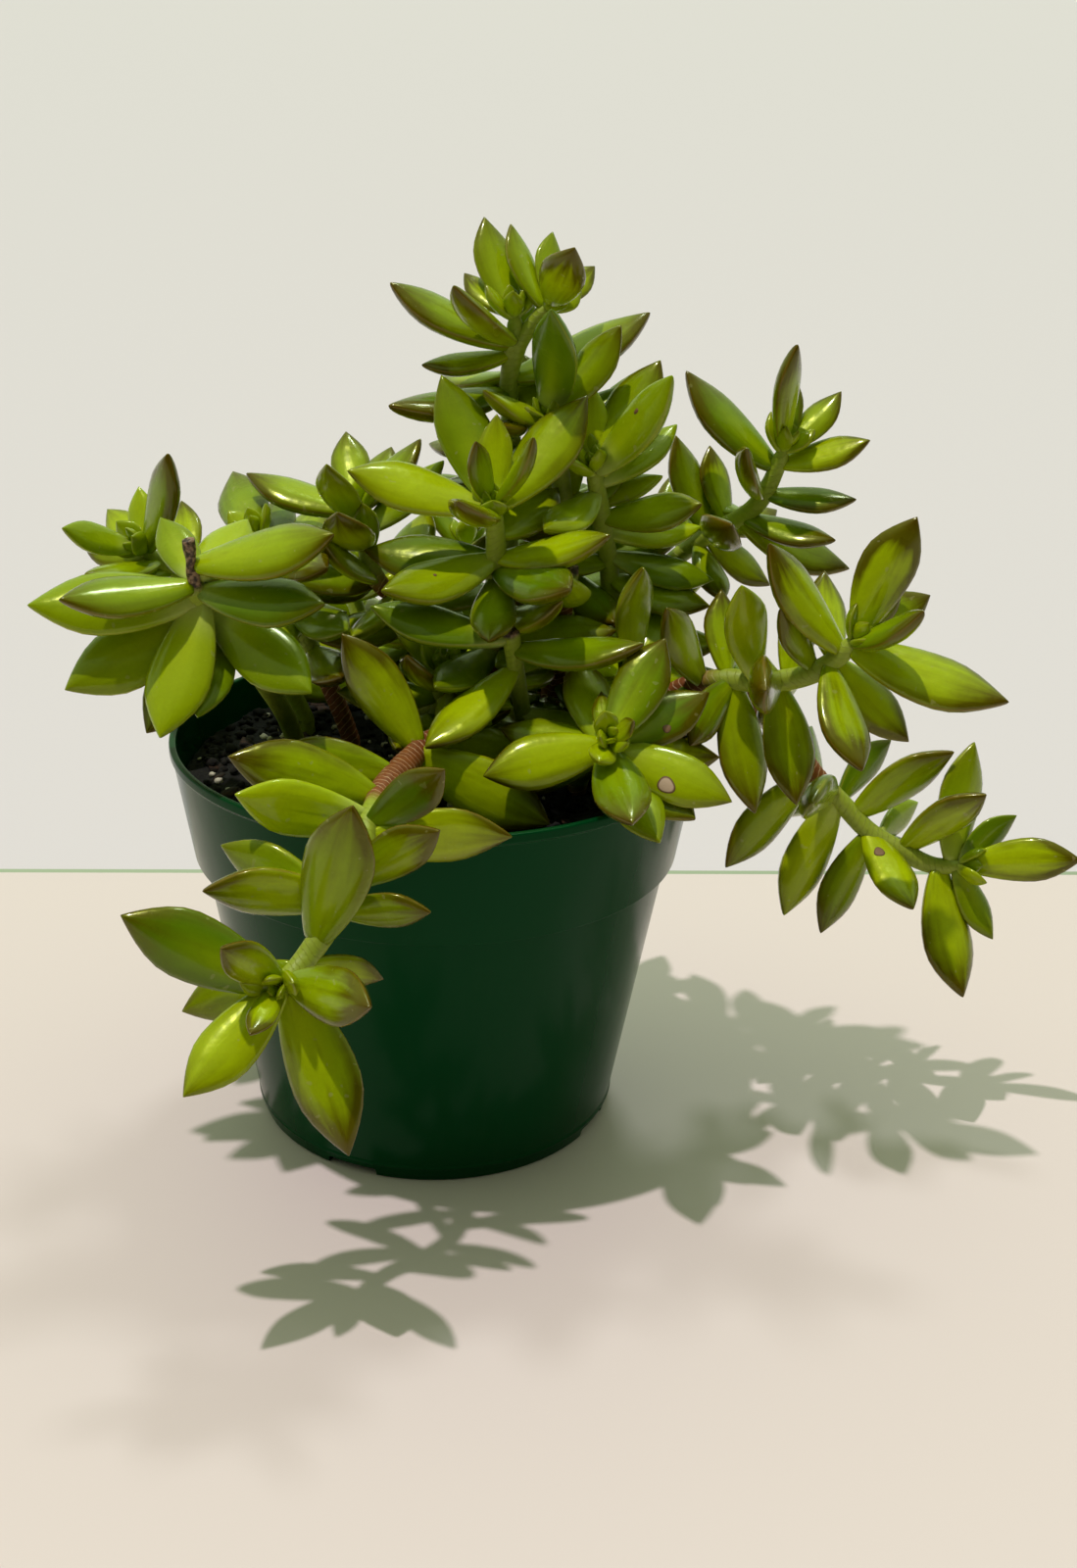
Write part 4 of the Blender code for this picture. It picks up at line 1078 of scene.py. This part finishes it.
def cut_drain_slots(pot):
    """Cuts the four drain slots through the corner of the wall and the floor."""
    deep, wide, high = DRAIN_SLOT_SIZE
    cutters = []
    for count in range(DRAIN_SLOTS):
        angle = math.radians(DRAIN_SLOT_FIRST_ANGLE) + math.tau * count / DRAIN_SLOTS
        reach = BASE_RADIUS - deep / 2 + DRAIN_SLOT_OVERCUT
        choose()
        bpy.ops.mesh.primitive_cube_add(size=1.0)
        cutter = bpy.context.object
        cutter.data.transform(Matrix.Diagonal((deep + 2 * DRAIN_SLOT_OVERCUT, wide, 2 * high, 1)))
        cutter.data.transform(Matrix.Rotation(angle, 4, "Z") @ Matrix.Translation((reach, 0, 0)))
        rounding = cutter.modifiers.new("rounded_corners", "BEVEL")
        rounding.width = DRAIN_SLOT_ROUNDING
        rounding.segments = DRAIN_SLOT_ROUNDING_STEPS
        bpy.ops.object.modifier_apply(modifier=rounding.name)
        cutters.append(cutter)
    for cutter in cutters:
        cut = pot.modifiers.new("drain_slot", "BOOLEAN")
        cut.object = cutter
        cut.operation = "DIFFERENCE"
        cut.solver = "EXACT"
        choose(pot)
        bpy.ops.object.modifier_apply(modifier=cut.name)
        bpy.data.objects.remove(cutter)


class SEDUM_OT_pot(bpy.types.Operator):
    """Builds the round green nursery pot"""

    bl_idname = "sedum.pot"
    bl_label = "Pot"

    def execute(self, context):
        settings = context.scene.sedum_pot
        pot = spin_outline("nursery_pot", round_corners(pot_outline(settings)), settings.segments)
        cut_drain_slots(pot)
        choose(pot)
        bpy.ops.object.shade_smooth_by_angle(angle=math.radians(SHARP_EDGE))
        finish_piece(pot, "pot_plastic", pot_plastic(settings), replaces="pot")
        return {"FINISHED"}


# The potting mix


def soil_height(x, y, relief):
    """Height of the crumbly surface of the potting mix."""
    lumps = noise.noise(Vector((x, y, 0.0)) / LUMP_SIZE)
    crumbs = noise.fractal(Vector((x, y, 3.0)) / CRUMB_SIZE, *CRUMB_FRACTAL)
    return SOIL_LEVEL + relief * (lumps + CRUMB_RELIEF_SHARE * crumbs)


class SEDUM_OT_potting_mix(bpy.types.Operator):
    """Fills the pot with potting mix that has a rough surface"""

    bl_idname = "sedum.potting_mix"
    bl_label = "Potting mix"

    def execute(self, context):
        settings = context.scene.sedum_soil
        pot = context.scene.sedum_pot
        inside = reversed(pot_outline(pot)[-5:-1])
        outline = [Vector((0.0, BASE_THICKNESS + SOIL_GAP))]
        outline += [Vector((radius - SOIL_GAP, height + SOIL_GAP)) for radius, height, _ in inside]
        outline += [Vector((SOIL_HIGH.x * (1 - step / SOIL_RINGS), SOIL_LEVEL))
                    for step in range(SOIL_RINGS + 1)]
        soil = spin_outline("potting_mix", outline, SOIL_SEGMENTS)
        for vertex in soil.data.vertices:
            if vertex.co.z > SOIL_LEVEL - MERGE_DISTANCE:
                vertex.co.z = soil_height(vertex.co.x, vertex.co.y, settings.relief)
        bpy.ops.object.shade_smooth()
        # Nearly black: partly the dark of moist peat, partly painted shade for the deep shade under the
        # leaves
        skin = peat("moist_peat", "030201", "0f0906", 1.6 * MM)
        finish_piece(soil, "potting_mix", skin, replaces="soil")
        return {"FINISHED"}


def scattered(name, count, sizes, flatness, draw, settings, subdivisions):
    """Rough grains of one kind lying on the potting mix, joined in one object."""
    choose()
    bpy.ops.mesh.primitive_ico_sphere_add(subdivisions=subdivisions, radius=0.5)
    pattern, places = take_ball()
    grains = []
    reach = SOIL_HIGH.x - GRAIN_EDGE
    for index in range(count):
        angle = draw.uniform(0, math.tau)
        radius = reach * math.sqrt(draw.random())
        x = radius * math.cos(angle)
        y = radius * math.sin(angle)
        size = draw.uniform(*sizes)
        rough = [1 + draw.uniform(-GRAIN_JAGGEDNESS, GRAIN_JAGGEDNESS) for _ in places]
        stretch = [draw.uniform(*GRAIN_STRETCH), draw.uniform(*GRAIN_STRETCH), flatness]
        shaped = places * np.array(rough)[:, None] * np.array(stretch) * size
        turn = np.array(Matrix.Rotation(draw.uniform(0, math.tau), 3, "Z")
                        @ Matrix.Rotation(draw.uniform(-GRAIN_TILT, GRAIN_TILT), 3, "X"))
        level = soil_height(x, y, settings.relief) + size * flatness * draw.uniform(*GRAIN_LIFT)
        grains.append(shaped_copy(pattern, f"{name}_{index}", shaped @ turn.T + [x, y, level], {}))
    joined = join_pieces(name, grains)
    bpy.data.meshes.remove(pattern)
    return joined


class SEDUM_OT_grains(bpy.types.Operator):
    """Scatters peat crumbs, perlite grains and bark chips over the potting mix"""

    bl_idname = "sedum.grains"
    bl_label = "Crumbs, perlite and bark"

    def execute(self, context):
        settings = context.scene.sedum_soil
        draw = random.Random(LOOK_SEED)
        kinds = (
            # The peat crumbs are nearly black: partly the dark of moist peat, partly painted shade under the
            # leaves
            ("peat_crumbs", settings.crumbs, (1.2 * MM, 3.2 * MM), 0.75, 1,
             peat("peat_crumb", "050302", "1b110a", 0.9 * MM)),
            ("perlite_grains", settings.perlite, (0.6 * MM, 2.0 * MM), 0.85, 2, perlite_glass()),
            ("bark_chips", settings.chips, (2.5 * MM, 6.0 * MM), 0.28, 1,
             peat("composted_bark", "1a0f08", "4d3119", 1.2 * MM)))
        for name, count, sizes, flatness, subdivisions, skin in kinds:
            grains = scattered(name, count, sizes, flatness, draw, settings, subdivisions)
            finish_piece(grains, "potting_mix", skin)
        return {"FINISHED"}


# The plant


def unit(rows):
    """Rows of vectors, each of length 1."""
    return rows / np.linalg.norm(rows, axis=1)[:, None]


@np.vectorize
def fine_width_at(share):
    """Width of a finer leaf along its length: as the solid's, with a sharper tip."""
    tip = max(0.0, (share - TIP_START) / (1 - TIP_START))
    return leaf_width_at(share) * (1 - TIP_SHARPENING * tip ** 2)


def leaf_places(leaf, look, share, turn):
    """Places of a leaf's vertices from their shares along it and their turns round it."""
    reach = np.array(leaf.tip - leaf.root)
    length = np.linalg.norm(reach)
    upper = np.array(leaf.upper)
    across = unit(np.cross(reach, upper)[None, :])[0]
    width = fine_width_at(share)
    root = np.sqrt(np.clip(share / LEAF_ROOT_ROUNDING, 0, 1))
    half = leaf.width / 2 * LEAF_FILLING * width * root
    deep = leaf.width * LEAF_THICKNESS_SHARE * width ** LEAF_TIP_THINNING * root
    side = np.cos(turn)
    lift = np.sin(turn)
    top = LEAF_TOP * np.abs(lift) ** LEAF_TOP_EDGE
    keel = -LEAF_KEEL * np.abs(lift) ** LEAF_KEEL_EDGE
    furrow = look.furrow * np.exp(-(side / FURROW_HALF_WIDTH) ** 2) * (1 - share)
    height = np.where(lift > 0, top - furrow, keel)
    twist = look.twist * (share - TWIST_CENTRE)
    sideways = side * half
    upright = height * deep
    flat = sideways * np.cos(twist) - upright * np.sin(twist)
    high = sideways * np.sin(twist) + upright * np.cos(twist)
    bow = length * 4 * share * (1 - share)
    flat += look.sway * bow
    high -= LEAF_BOW * bow
    return (np.array(leaf.root) + reach * share[:, None]
            + across * flat[:, None] + upper * high[:, None])


def leaf_look(draw, plan, leaf):
    """Colour and small irregularities of one leaf: short young leaves are lime, others vary."""
    youth = max(0.0, 1 - (leaf.tip - leaf.root).length / YOUNG_LENGTH)
    tone = draw.gauss(TONE_MIDDLE, TONE_SPREAD) - YOUNG_LIGHTENING * youth
    blush = plan.blush + draw.gauss(0.0, BLUSH_SPREAD)
    return Look(
        tone=min(1.0, max(0.0, tone)),
        blush=min(BLUSH_RANGE[1], max(BLUSH_RANGE[0], blush)),
        twist=draw.gauss(0.0, TWIST_SPREAD),
        sway=draw.gauss(0.0, SWAY_SPREAD),
        furrow=abs(draw.gauss(0.0, FURROW_SPREAD)),
    )


def route_frames(route):
    """Centre, two directions across and distance below the tip for each ring of a stem."""
    path = np.array([tuple(point) for point in smooth_route(route, step=STEM_RING_LENGTH)])
    foot = np.linspace(path[0], path[1], STEM_FOOT_RINGS, endpoint=False)
    path = np.vstack([foot, path[1:]])
    ahead = unit(np.gradient(path, axis=0))
    sides = []
    side = np.array([1.0, 0.0, 0.0])
    for direction in ahead:
        side = side - direction * side.dot(direction)
        side = side / np.linalg.norm(side)
        sides.append(side)
    sides = np.array(sides)
    steps = np.linalg.norm(np.diff(path, axis=0), axis=1)
    below = np.concatenate([np.cumsum(steps[::-1])[::-1], [0.0]])
    return path, sides, np.cross(ahead, sides), below


def fine_stem(name, route, radius, plan):
    """Stem as a closed sleeve: green and ringed, corky low down, withered where it was cut."""
    path, sides, others, below = route_frames(route)
    rings = len(path) + 1
    pattern, ring_share, turn = sphere_pattern(STEM_SEGMENTS, rings)
    at = np.clip(np.round(ring_share * rings).astype(int) - 1, 0, len(path) - 1)
    pole = np.abs(2 * ring_share - 1) > 1 - 1 / rings
    along = below[at]
    ring_count = (along + SCAR_SLANT * radius * np.cos(turn)) / SCAR_SPACING
    bark = np.clip((along - plan.bark_below * MM) / BARK_FADE + 0.5, 0, 1)
    dry = np.clip((plan.withered * MM - along) / WITHERED_FADE + 0.5, 0, 1) * bool(plan.withered)
    girth = np.interp(along / MM, *zip(*plan.girth))
    wave = WAVE_HEIGHT * np.sin(3 * turn + along / WAVE_LENGTH)
    crinkle = CRINKLE_HEIGHT * dry * np.sin(2 * turn + along / CRINKLE_LENGTH)
    swell = 1 + SCAR_HEIGHT * bark * np.cos(ring_count * math.tau) + wave + crinkle
    shrinking = (1 - WITHERED_GIRTH) * min(1.0, plan.withered / WITHERED_FULLY)
    thick = radius * girth * swell * (1 - shrinking * dry)
    if not plan.cut:
        thick = thick * np.sqrt(np.clip(along / (TIP_ROUNDING * radius), TIP_LEAST, 1))
    thick = np.where(pole, 0.0, thick)
    places = (path[at] + sides[at] * (thick * np.cos(turn))[:, None]
              + others[at] * (thick * np.sin(turn))[:, None])
    values = {"stem_bark": bark, "stem_dry": dry, "stem_rings": ring_count}
    stem = shaped_copy(pattern, name, places, values)
    bpy.data.meshes.remove(pattern)
    return stem


def bud_leaves(route, heading):
    """Young leaves nested round a growing tip, the innermost the shortest and steepest."""
    path = smooth_route(route)
    ahead = (path[-1] - path[-2]).normalized()
    side = ahead.orthogonal().normalized()
    leaves = []
    for count in range(BUD_LEAVES):
        share = count / (BUD_LEAVES - 1)
        lean = math.radians(BUD_LEANS[0] + (BUD_LEANS[1] - BUD_LEANS[0]) * share)
        length = (BUD_LENGTHS[0] + (BUD_LENGTHS[1] - BUD_LENGTHS[0]) * share) * MM
        outwards = Matrix.Rotation(math.radians(heading + GOLDEN_ANGLE * count), 3, ahead) @ side
        along = ahead * math.cos(lean) + outwards * math.sin(lean)
        upper = (ahead - along * ahead.dot(along)).normalized()
        root = path[-1] - ahead * (BUD_SINK + BUD_SPREAD * count) * MM
        leaves.append(Leaf(root, root + along * length, upper, length * BUD_WIDTH_SHARE))
    return leaves


def blade(plan, leaf, look, pattern):
    """One leaf's object, with what its skin needs to know at each vertex."""
    mesh, share, turn = pattern
    values = {"leaf_along": share, "leaf_side": np.cos(turn),
              "leaf_tone": 0 * share + look.tone, "leaf_blush": 0 * share + look.blush}
    return shaped_copy(mesh, f"{plan.name}_leaf", leaf_places(leaf, look, share, turn), values)


def fine_shoot(plan, grown, pattern, draw, skins):
    """One leafy stem with its branches, leaves and buds, standing for its solid."""
    leaf_material, stem_material = skins
    stems = []
    blades = [blade(plan, leaf, look, pattern) for leaf, look in grown]
    for index, route in enumerate(plan.routes):
        radius = plan.radius * (BRANCH_RADIUS_SHARE if index else 1.0)
        stems.append(fine_stem(f"{plan.name}_axis", route, radius, plan))
        if not plan.cut:
            for leaf in bud_leaves(route, draw.uniform(0, 360)):
                look = Look(draw.uniform(*BUD_TONES), plan.blush * BUD_BLUSH_SHARE, 0.0, 0.0, BUD_FURROW)
                blades.append(blade(plan, leaf, look, pattern))
    for piece in stems + blades:
        piece.data.materials.append(leaf_material)
    for stem in stems:
        stem.data.materials.append(stem_material)
        stem.data.polygons.foreach_set("material_index", [1] * len(stem.data.polygons))
    whole = join_pieces(plan.name.replace("_stem", "_shoot"), stems + blades)
    finish_piece(whole, "sedum_leaf", replaces=plan.name)


@functools.cache
def grown_leaves():
    """Placed leaves of every shoot, each with its look."""
    draw = random.Random(LOOK_SEED)
    placed = plan_leaves()
    return {plan.name: [(leaf, leaf_look(draw, plan, leaf)) for leaf in placed[plan.name]]
            for plan in SHOOTS}


class SEDUM_OT_shoots(bpy.types.Operator):
    """Grows every leafy stem, each as one piece"""

    bl_idname = "sedum.shoots"
    bl_label = "Leafy stems"

    def execute(self, context):
        settings = context.scene.sedum_leaf
        mesh, ring_share, turn = sphere_pattern(LEAF_SEGMENTS, LEAF_RING_COUNT)
        share = (1 - np.cos(ring_share * math.pi)) / 2
        skins = leaf_skin(settings), stem_skin(settings)
        draw = random.Random(LOOK_SEED)
        for plan in SHOOTS:
            fine_shoot(plan, grown_leaves()[plan.name], (mesh, share, turn), draw, skins)
        bpy.data.meshes.remove(mesh)
        return {"FINISHED"}


def leaf_mark(mark, mesh, spots):
    """Thin lens of scar tissue that lies on a leaf's skin at a share along it and a turn round it."""
    leaf, look = grown_leaves()[mark.shoot][mark.leaf]
    length = (leaf.tip - leaf.root).length
    wavy = 1 + MARK_WAVE * np.sin(3 * np.arctan2(spots[:, 1], spots[:, 0]) + mark.share * MARK_PHASE)
    share = mark.share + mark.radius * spots[:, 0] * wavy * mark.stretch / length
    half = leaf.width / 2 * fine_width_at(mark.share)
    turn = math.radians(mark.turn) + mark.radius * spots[:, 1] * wavy / half
    places = leaf_places(leaf, look, share, turn)
    outwards = np.array(leaf.upper) * math.copysign(MARK_HEIGHT, math.sin(math.radians(mark.turn)))
    places += outwards * spots[:, 2:]
    rim = np.hypot(spots[:, 0], spots[:, 1])
    return shaped_copy(mesh, "leaf_mark", places, {"mark_rim": rim, "mark_pale": 0 * rim + mark.pale})


class SEDUM_OT_leaf_marks(bpy.types.Operator):
    """Adds the healed scars and spots on a few leaves"""

    bl_idname = "sedum.leaf_marks"
    bl_label = "Scars on leaves"

    def execute(self, context):
        mesh, ring_share, turn = sphere_pattern(MARK_SEGMENTS, MARK_RINGS)
        lift = ring_share * math.pi
        spots = np.stack([np.sin(lift) * np.cos(turn), np.sin(lift) * np.sin(turn), -np.cos(lift)], -1)
        marks = join_pieces("leaf_scars", [leaf_mark(mark, mesh, spots) for mark in MARKS])
        bpy.data.meshes.remove(mesh)
        finish_piece(marks, "sedum_leaf", scar_tissue())
        return {"FINISHED"}


# The stage


def aim(thing, ahead, up):
    """Turns a camera or a light so that it looks ahead with its top up."""
    ahead = Vector(ahead).normalized()
    up = Vector(up)
    right = ahead.cross(up).normalized()
    top = right.cross(ahead)
    thing.rotation_euler = Matrix((right, top, -ahead)).transposed().to_euler()


def board(name, near, far, rise, colour):
    """Flat board of the stage between two distances, just under the pot, its far end raised."""
    choose()
    bpy.ops.mesh.primitive_plane_add(size=1.0)
    made = bpy.context.object
    made.name = name
    for vertex in made.data.vertices:
        behind = vertex.co.y > 0
        vertex.co = (vertex.co.x * 2 * STAGE_REACH, far if behind else near, rise if behind else 0.0)
        vertex.co.z -= STAGE_DROP
    made.data.materials.append(painted_board(name, colour))


def add_light(name, place, strength, spread, colour):
    """Even light from one direction, spread over some degrees, aimed at the foot of the pot."""
    lamp = bpy.data.lights.new(name, "SUN")
    lamp.energy = strength
    lamp.angle = math.radians(spread)
    lamp.color = linear(colour)[:3]
    made = new_object(name, lamp)
    made.location = place
    aim(made, -Vector(place), (0, 1, 0))


def add_surround(strength):
    """Plain surround: bright overhead and behind the plant, dim behind the viewer."""
    world = bpy.data.worlds.new("plain_surround")
    bpy.context.scene.world = world
    world.use_nodes = True
    tree = world.node_tree
    direction = add_node(tree, "TexCoord", output="Generated")
    height = add_node(tree, "VectorMath", (direction, SURROUND_BRIGHT_TOWARDS), operation="DOT_PRODUCT")
    dim = strength * SURROUND_DIM_SHARE
    level = add_node(tree, "MapRange", (height, *SURROUND_FADE, dim, strength), **SMOOTH)
    plug(tree.nodes["Background"], {"Color": linear("e6ffcb"), "Strength": level})


class SEDUM_OT_stage(bpy.types.Operator):
    """Sets the plain floor, the soft light and the photograph's camera"""

    bl_idname = "sedum.stage"
    bl_label = "Stage"

    def execute(self, context):
        settings = context.scene.sedum_stage
        board("near_board", -STAGE_REACH, BOARD_SEAM, 0.0, settings.floor)
        board("far_board", BOARD_SEAM + BOARD_GAP, STAGE_REACH, BOARD_RISE, settings.wall)
        add_light("key_light", KEY_FROM, settings.key_strength, KEY_SPREAD, "fff7f1")
        add_light("second_light", SECOND_FROM, settings.second_strength, SECOND_SPREAD, "f3fff3")
        add_surround(settings.surround)
        camera = bpy.data.cameras.new("photo_camera")
        camera.lens = CAMERA_LENS
        camera.clip_start = CLIP_START
        viewer = new_object("photo_camera", camera)
        viewer.location = CAMERA_PLACE
        aim(viewer, CAMERA_AHEAD, CAMERA_UP)
        context.scene.camera = viewer
        context.scene.view_settings.view_transform = "Standard"
        return {"FINISHED"}


class SEDUM_PT_panel(bpy.types.Panel):
    """Steps that build the potted sedum"""

    bl_idname = "SEDUM_PT_panel"
    bl_label = "Potted sedum"
    bl_space_type = "VIEW_3D"
    bl_region_type = "UI"
    bl_category = "Sedum"

    def draw(self, context):
        for holder, kind, steps in GROUPS:
            for name in kind.__annotations__:
                self.layout.prop(getattr(context.scene, holder), name)
            for step in steps:
                self.layout.operator(step.bl_idname)


# Each group of settings on the scene, and the operators that use it
GROUPS = (
    ("sedum_pot", PotSettings, (SEDUM_OT_pot,)),
    ("sedum_soil", SoilSettings, (SEDUM_OT_potting_mix, SEDUM_OT_grains)),
    ("sedum_leaf", LeafSettings, (SEDUM_OT_shoots, SEDUM_OT_leaf_marks)),
    ("sedum_stage", StageSettings, (SEDUM_OT_stage,)),
)


def register():
    """Registers the classes and hangs their settings on the scene."""
    for holder, kind, steps in GROUPS:
        for registered in (kind, *steps):
            bpy.utils.register_class(registered)
        setattr(bpy.types.Scene, holder, PointerProperty(type=kind))
    bpy.utils.register_class(SEDUM_PT_panel)


def unregister():
    """Takes the settings and the classes away again."""
    bpy.utils.unregister_class(SEDUM_PT_panel)
    for holder, kind, steps in reversed(GROUPS):
        delattr(bpy.types.Scene, holder)
        for registered in (*steps, kind):
            bpy.utils.unregister_class(registered)


def main():
    """Builds every piece and the stage in order."""
    register()
    bpy.ops.sedum.pot()
    bpy.ops.sedum.potting_mix()
    bpy.ops.sedum.grains()
    bpy.ops.sedum.shoots()
    bpy.ops.sedum.leaf_marks()
    bpy.ops.sedum.stage()


if __name__ == "__main__":
    main()
